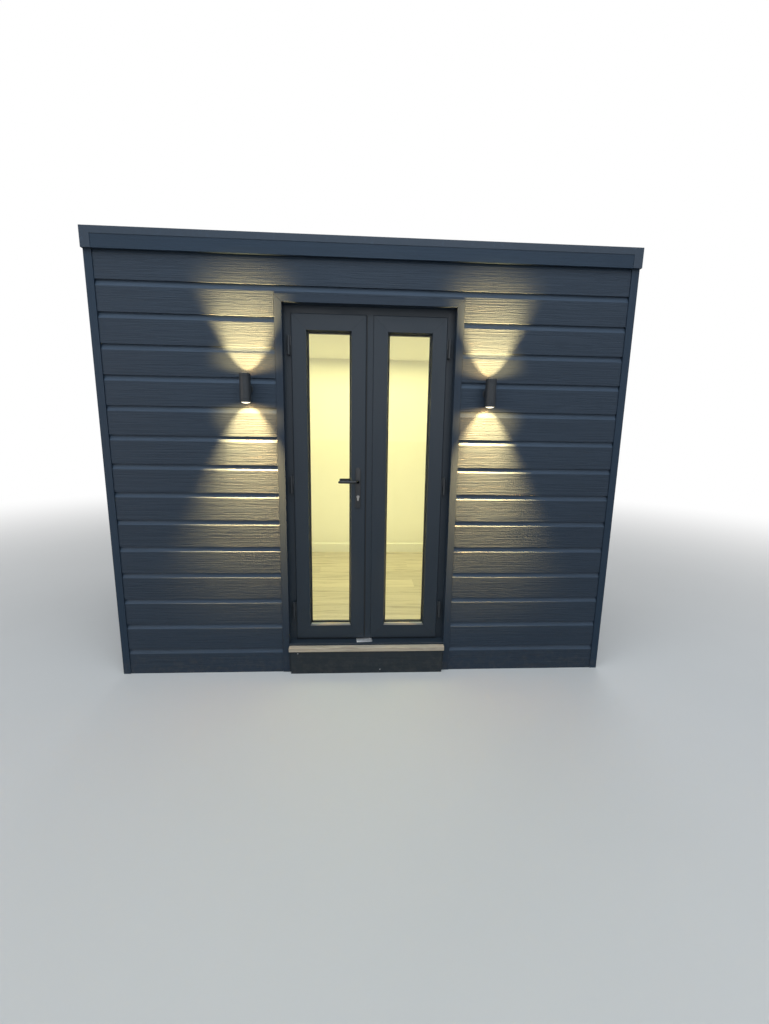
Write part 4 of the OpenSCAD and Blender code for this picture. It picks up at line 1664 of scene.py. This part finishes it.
@dataclass
class WallLight:
    """An up-and-down light beside the doors: a turned body on a bracket, with a lens at each end."""

    side: Side
    wall: float = 0.003
    lip: float = 0.001
    lens_depth: float = 0.002
    lens_seat: float = 0.006
    groove: float = 0.016
    groove_depth: float = 0.0012
    ring_gap: float = 0.0002
    ring_width: float = 0.002
    lamp_gap: float = 0.010

    @property
    def body_box(self) -> tuple[Vector, Vector]:
        """Gives this light's own body.

        Returns:
            Its lowest and its highest corner.
        """
        low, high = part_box("light_bodies")
        width = high.y - low.y
        if self.side is Side.LEFT:
            return low, Vector((low.x + width, high.y, high.z))
        return Vector((high.x - width, low.y, low.z)), high

    def build(self) -> None:
        """Turns the body and the bright ring that holds each lens."""
        low, high = self.body_box
        centre = (low + high) / 2
        radius, half = (high.x - low.x) / 2, (high.z - low.z) / 2
        inner, floor = radius - self.wall, half - self.lens_depth - self.lens_seat
        groove, cut, lip = half - self.groove, self.groove_depth, self.lip
        upper = [(radius, groove - cut), (radius - cut, groove), (radius, groove + cut),
                 (radius, half - lip), (radius - lip, half), (inner + lip, half), (inner, half - lip),
                 (inner, floor), (0, floor)]
        lower = [(r, -z) for r, z in reversed(upper)]
        body = Piece.turned(f"{self.side.word}_light_shell", lower + upper, centre, steps=56)
        stands_for = ["light_bodies"] if self.side is Side.LEFT else []
        body.smooth(30).fit(Body.ROOT, Slot.LIGHT_BODY, LIGHT_COAT, stands_for)
        outer, width = inner - self.ring_gap, self.ring_width
        ring = [(outer - width, 0), (outer, 0), (outer, 0.6 * width), (outer - width / 2, width),
                (outer - width, 0.6 * width), (outer - width, 0)]
        bezels = [Piece.turned("bezel", ring, centre + (half - self.lens_depth) * end.way, end.way, 48)
                  for end in (End.LOWER, End.UPPER)]
        joined = Piece.gathered(f"{self.side.word}_light_bezels", bezels)
        joined.smooth(40).fit(Body.ROOT, Slot.LIGHT_BODY, BARE_STEEL)

    def shine(self) -> None:
        """Puts the beams beyond the lens of each end, aimed a little at the wall."""
        low, high = self.body_box
        x, y = (low.x + high.x) / 2, (low.y + high.y) / 2
        for beam in UPPER_BEAMS:
            turn = math.pi - math.radians(beam.tilt)
            add_light(beam.lamp(self.side), (x, y, high.z + self.lamp_gap), (turn, 0, 0))
        for beam in LOWER_BEAMS:
            turn = math.radians(beam.tilt)
            add_light(beam.lamp(self.side), (x, y, low.z - self.lamp_gap), (turn, 0, 0))

    @staticmethod
    def dress() -> None:
        """Gives the brackets their coat and the lenses their glow."""
        dress(LIGHT_COAT, "light_brackets")
        dress(LIT_LENS, "light_lenses")


def add_light(light: bpy.types.Light, place: Point, rotation: Point) -> None:
    """Adds a light that the camera doesn't see.

    Args:
        light: The light.
        place: Where it hangs.
        rotation: Its turn about each axis.
    """
    obj = bpy.data.objects.new(light.name, light)
    obj.location = place
    obj.rotation_euler = rotation
    obj.visible_camera = False
    obj.visible_transmission = False
    bpy.context.scene.collection.objects.link(obj)


@dataclass(frozen=True)
class Panel:
    """A soft studio light: a flat panel that is aimed at a point."""

    name: str
    place: Point
    target: Point
    size: tuple[float, float]
    energy: float
    colour: Colour = WHITE

    def hang(self) -> None:
        """Hangs the panel."""
        light = bpy.data.lights.new(self.name, "AREA")
        light.shape = "RECTANGLE"
        light.size, light.size_y = self.size
        light.energy = self.energy
        light.color = self.colour
        aim = (Vector(self.target) - Vector(self.place)).to_track_quat("-Z", "Y").to_euler()
        add_light(light, self.place, aim)


PANELS = [
    Panel("front_sky_panel", (-0.5, -4.6, 7.2), (0, -1.2, 1.2), (9.0, 5.0), 430, (0.75, 0.885, 1.0)),
    Panel("front_fill_panel", (1.5, -7.5, 3.2), (0, -1.2, 1.2), (7.0, 4.0), 90),
    Panel("left_fill_panel", (-5.2, -4.4, 1.6), (-0.8, -1.2, 0.9), (3.0, 2.4), 60, (1.0, 0.82, 0.64)),
    Panel("back_sky_panel", (1.2, 5.4, 6.2), (0, 1.2, 1.2), (9.0, 4.0), 300),
    Panel("room_panel", (0, 0.1, 2.20), (0, 0.1, 0), (1.9, 1.4), 28, (1.0, 0.94, 0.42)),
    Panel("room_bounce", (0, 0.1, 0.20), (0, 0.1, 2), (1.9, 1.4), 6, (1.0, 0.94, 0.46)),
]


@dataclass
class Studio:
    """The plain floor, the white backdrop and the soft light, inside the room and out."""

    floor_size: float = 80.0
    world_light: float = 0.30

    def build(self) -> None:
        """Sets up the floor, the backdrop and the lights."""
        clear_selection()
        bpy.ops.mesh.primitive_plane_add(size=self.floor_size, location=(0, 0, 0))
        floor = bpy.context.object
        floor.name = "studio_floor"
        floor.data.materials.append(material_of(StudioFloor()))
        self.build_backdrop()
        for panel in PANELS:
            panel.hang()

    def build_backdrop(self) -> None:
        """Makes the world white to look at and plain to light by."""
        world = bpy.data.worlds.new("studio")
        bpy.context.scene.world = world
        world.use_nodes = True
        graph = Graph(world.node_tree)
        seen = graph.rays("Camera", "Glossy", "Transmission")
        strength = self.world_light + seen * (1.0 - self.world_light)
        sky = graph.node("ShaderNodeBackground", inputs={"Color": WHITE, "Strength": strength})
        graph.node("ShaderNodeOutputWorld", inputs={"Surface": sky.outputs[0]})


@dataclass
class PhotoCamera:
    """The camera of the photograph, as solved from the pod's own corners."""

    place: Point = (-0.049, -3.7575, 1.4856)
    right_turn: float = 3.230
    tip_down: float = 10.283
    roll: float = 0.943
    lens: float = 15.45
    sensor: float = 36.0
    near_limit: float = 0.05

    def build(self) -> None:
        """Sets up the camera and makes it the scene's."""
        data = bpy.data.cameras.new("photo_camera")
        data.lens = self.lens
        data.sensor_width = self.sensor
        data.clip_start = self.near_limit
        camera = bpy.data.objects.new("photo_camera", data)
        camera.matrix_world = (
            Matrix.Translation(self.place)
            @ Matrix.Rotation(math.radians(-self.right_turn), 4, "Z")
            @ Matrix.Rotation(math.radians(90 - self.tip_down), 4, "X")
            @ Matrix.Rotation(math.radians(self.roll), 4, "Z")
        )
        bpy.context.scene.collection.objects.link(camera)
        bpy.context.scene.camera = camera


def main() -> None:
    """Builds the pod's looks, then the studio."""
    logging.basicConfig(level=logging.INFO, format="%(message)s")
    bpy.context.scene.view_settings.view_transform = "Standard"
    PhotoCamera().build()
    Base().dress()
    room = Room()
    room.build()
    room.dress()
    Cladding().dress()
    Roof().dress()
    doorway = Doorway()
    doorway.build()
    doorway.dress()
    for side in Side:
        leaf = DoorLeaf(side)
        leaf.build()
        leaf.dress()
        light = WallLight(side)
        light.build()
        light.shine()
    WallLight.dress()
    for part in (MeetingStile(), Handle()):
        part.build()
        part.dress()
    Studio().build()


if __name__ == "__main__":
    main()
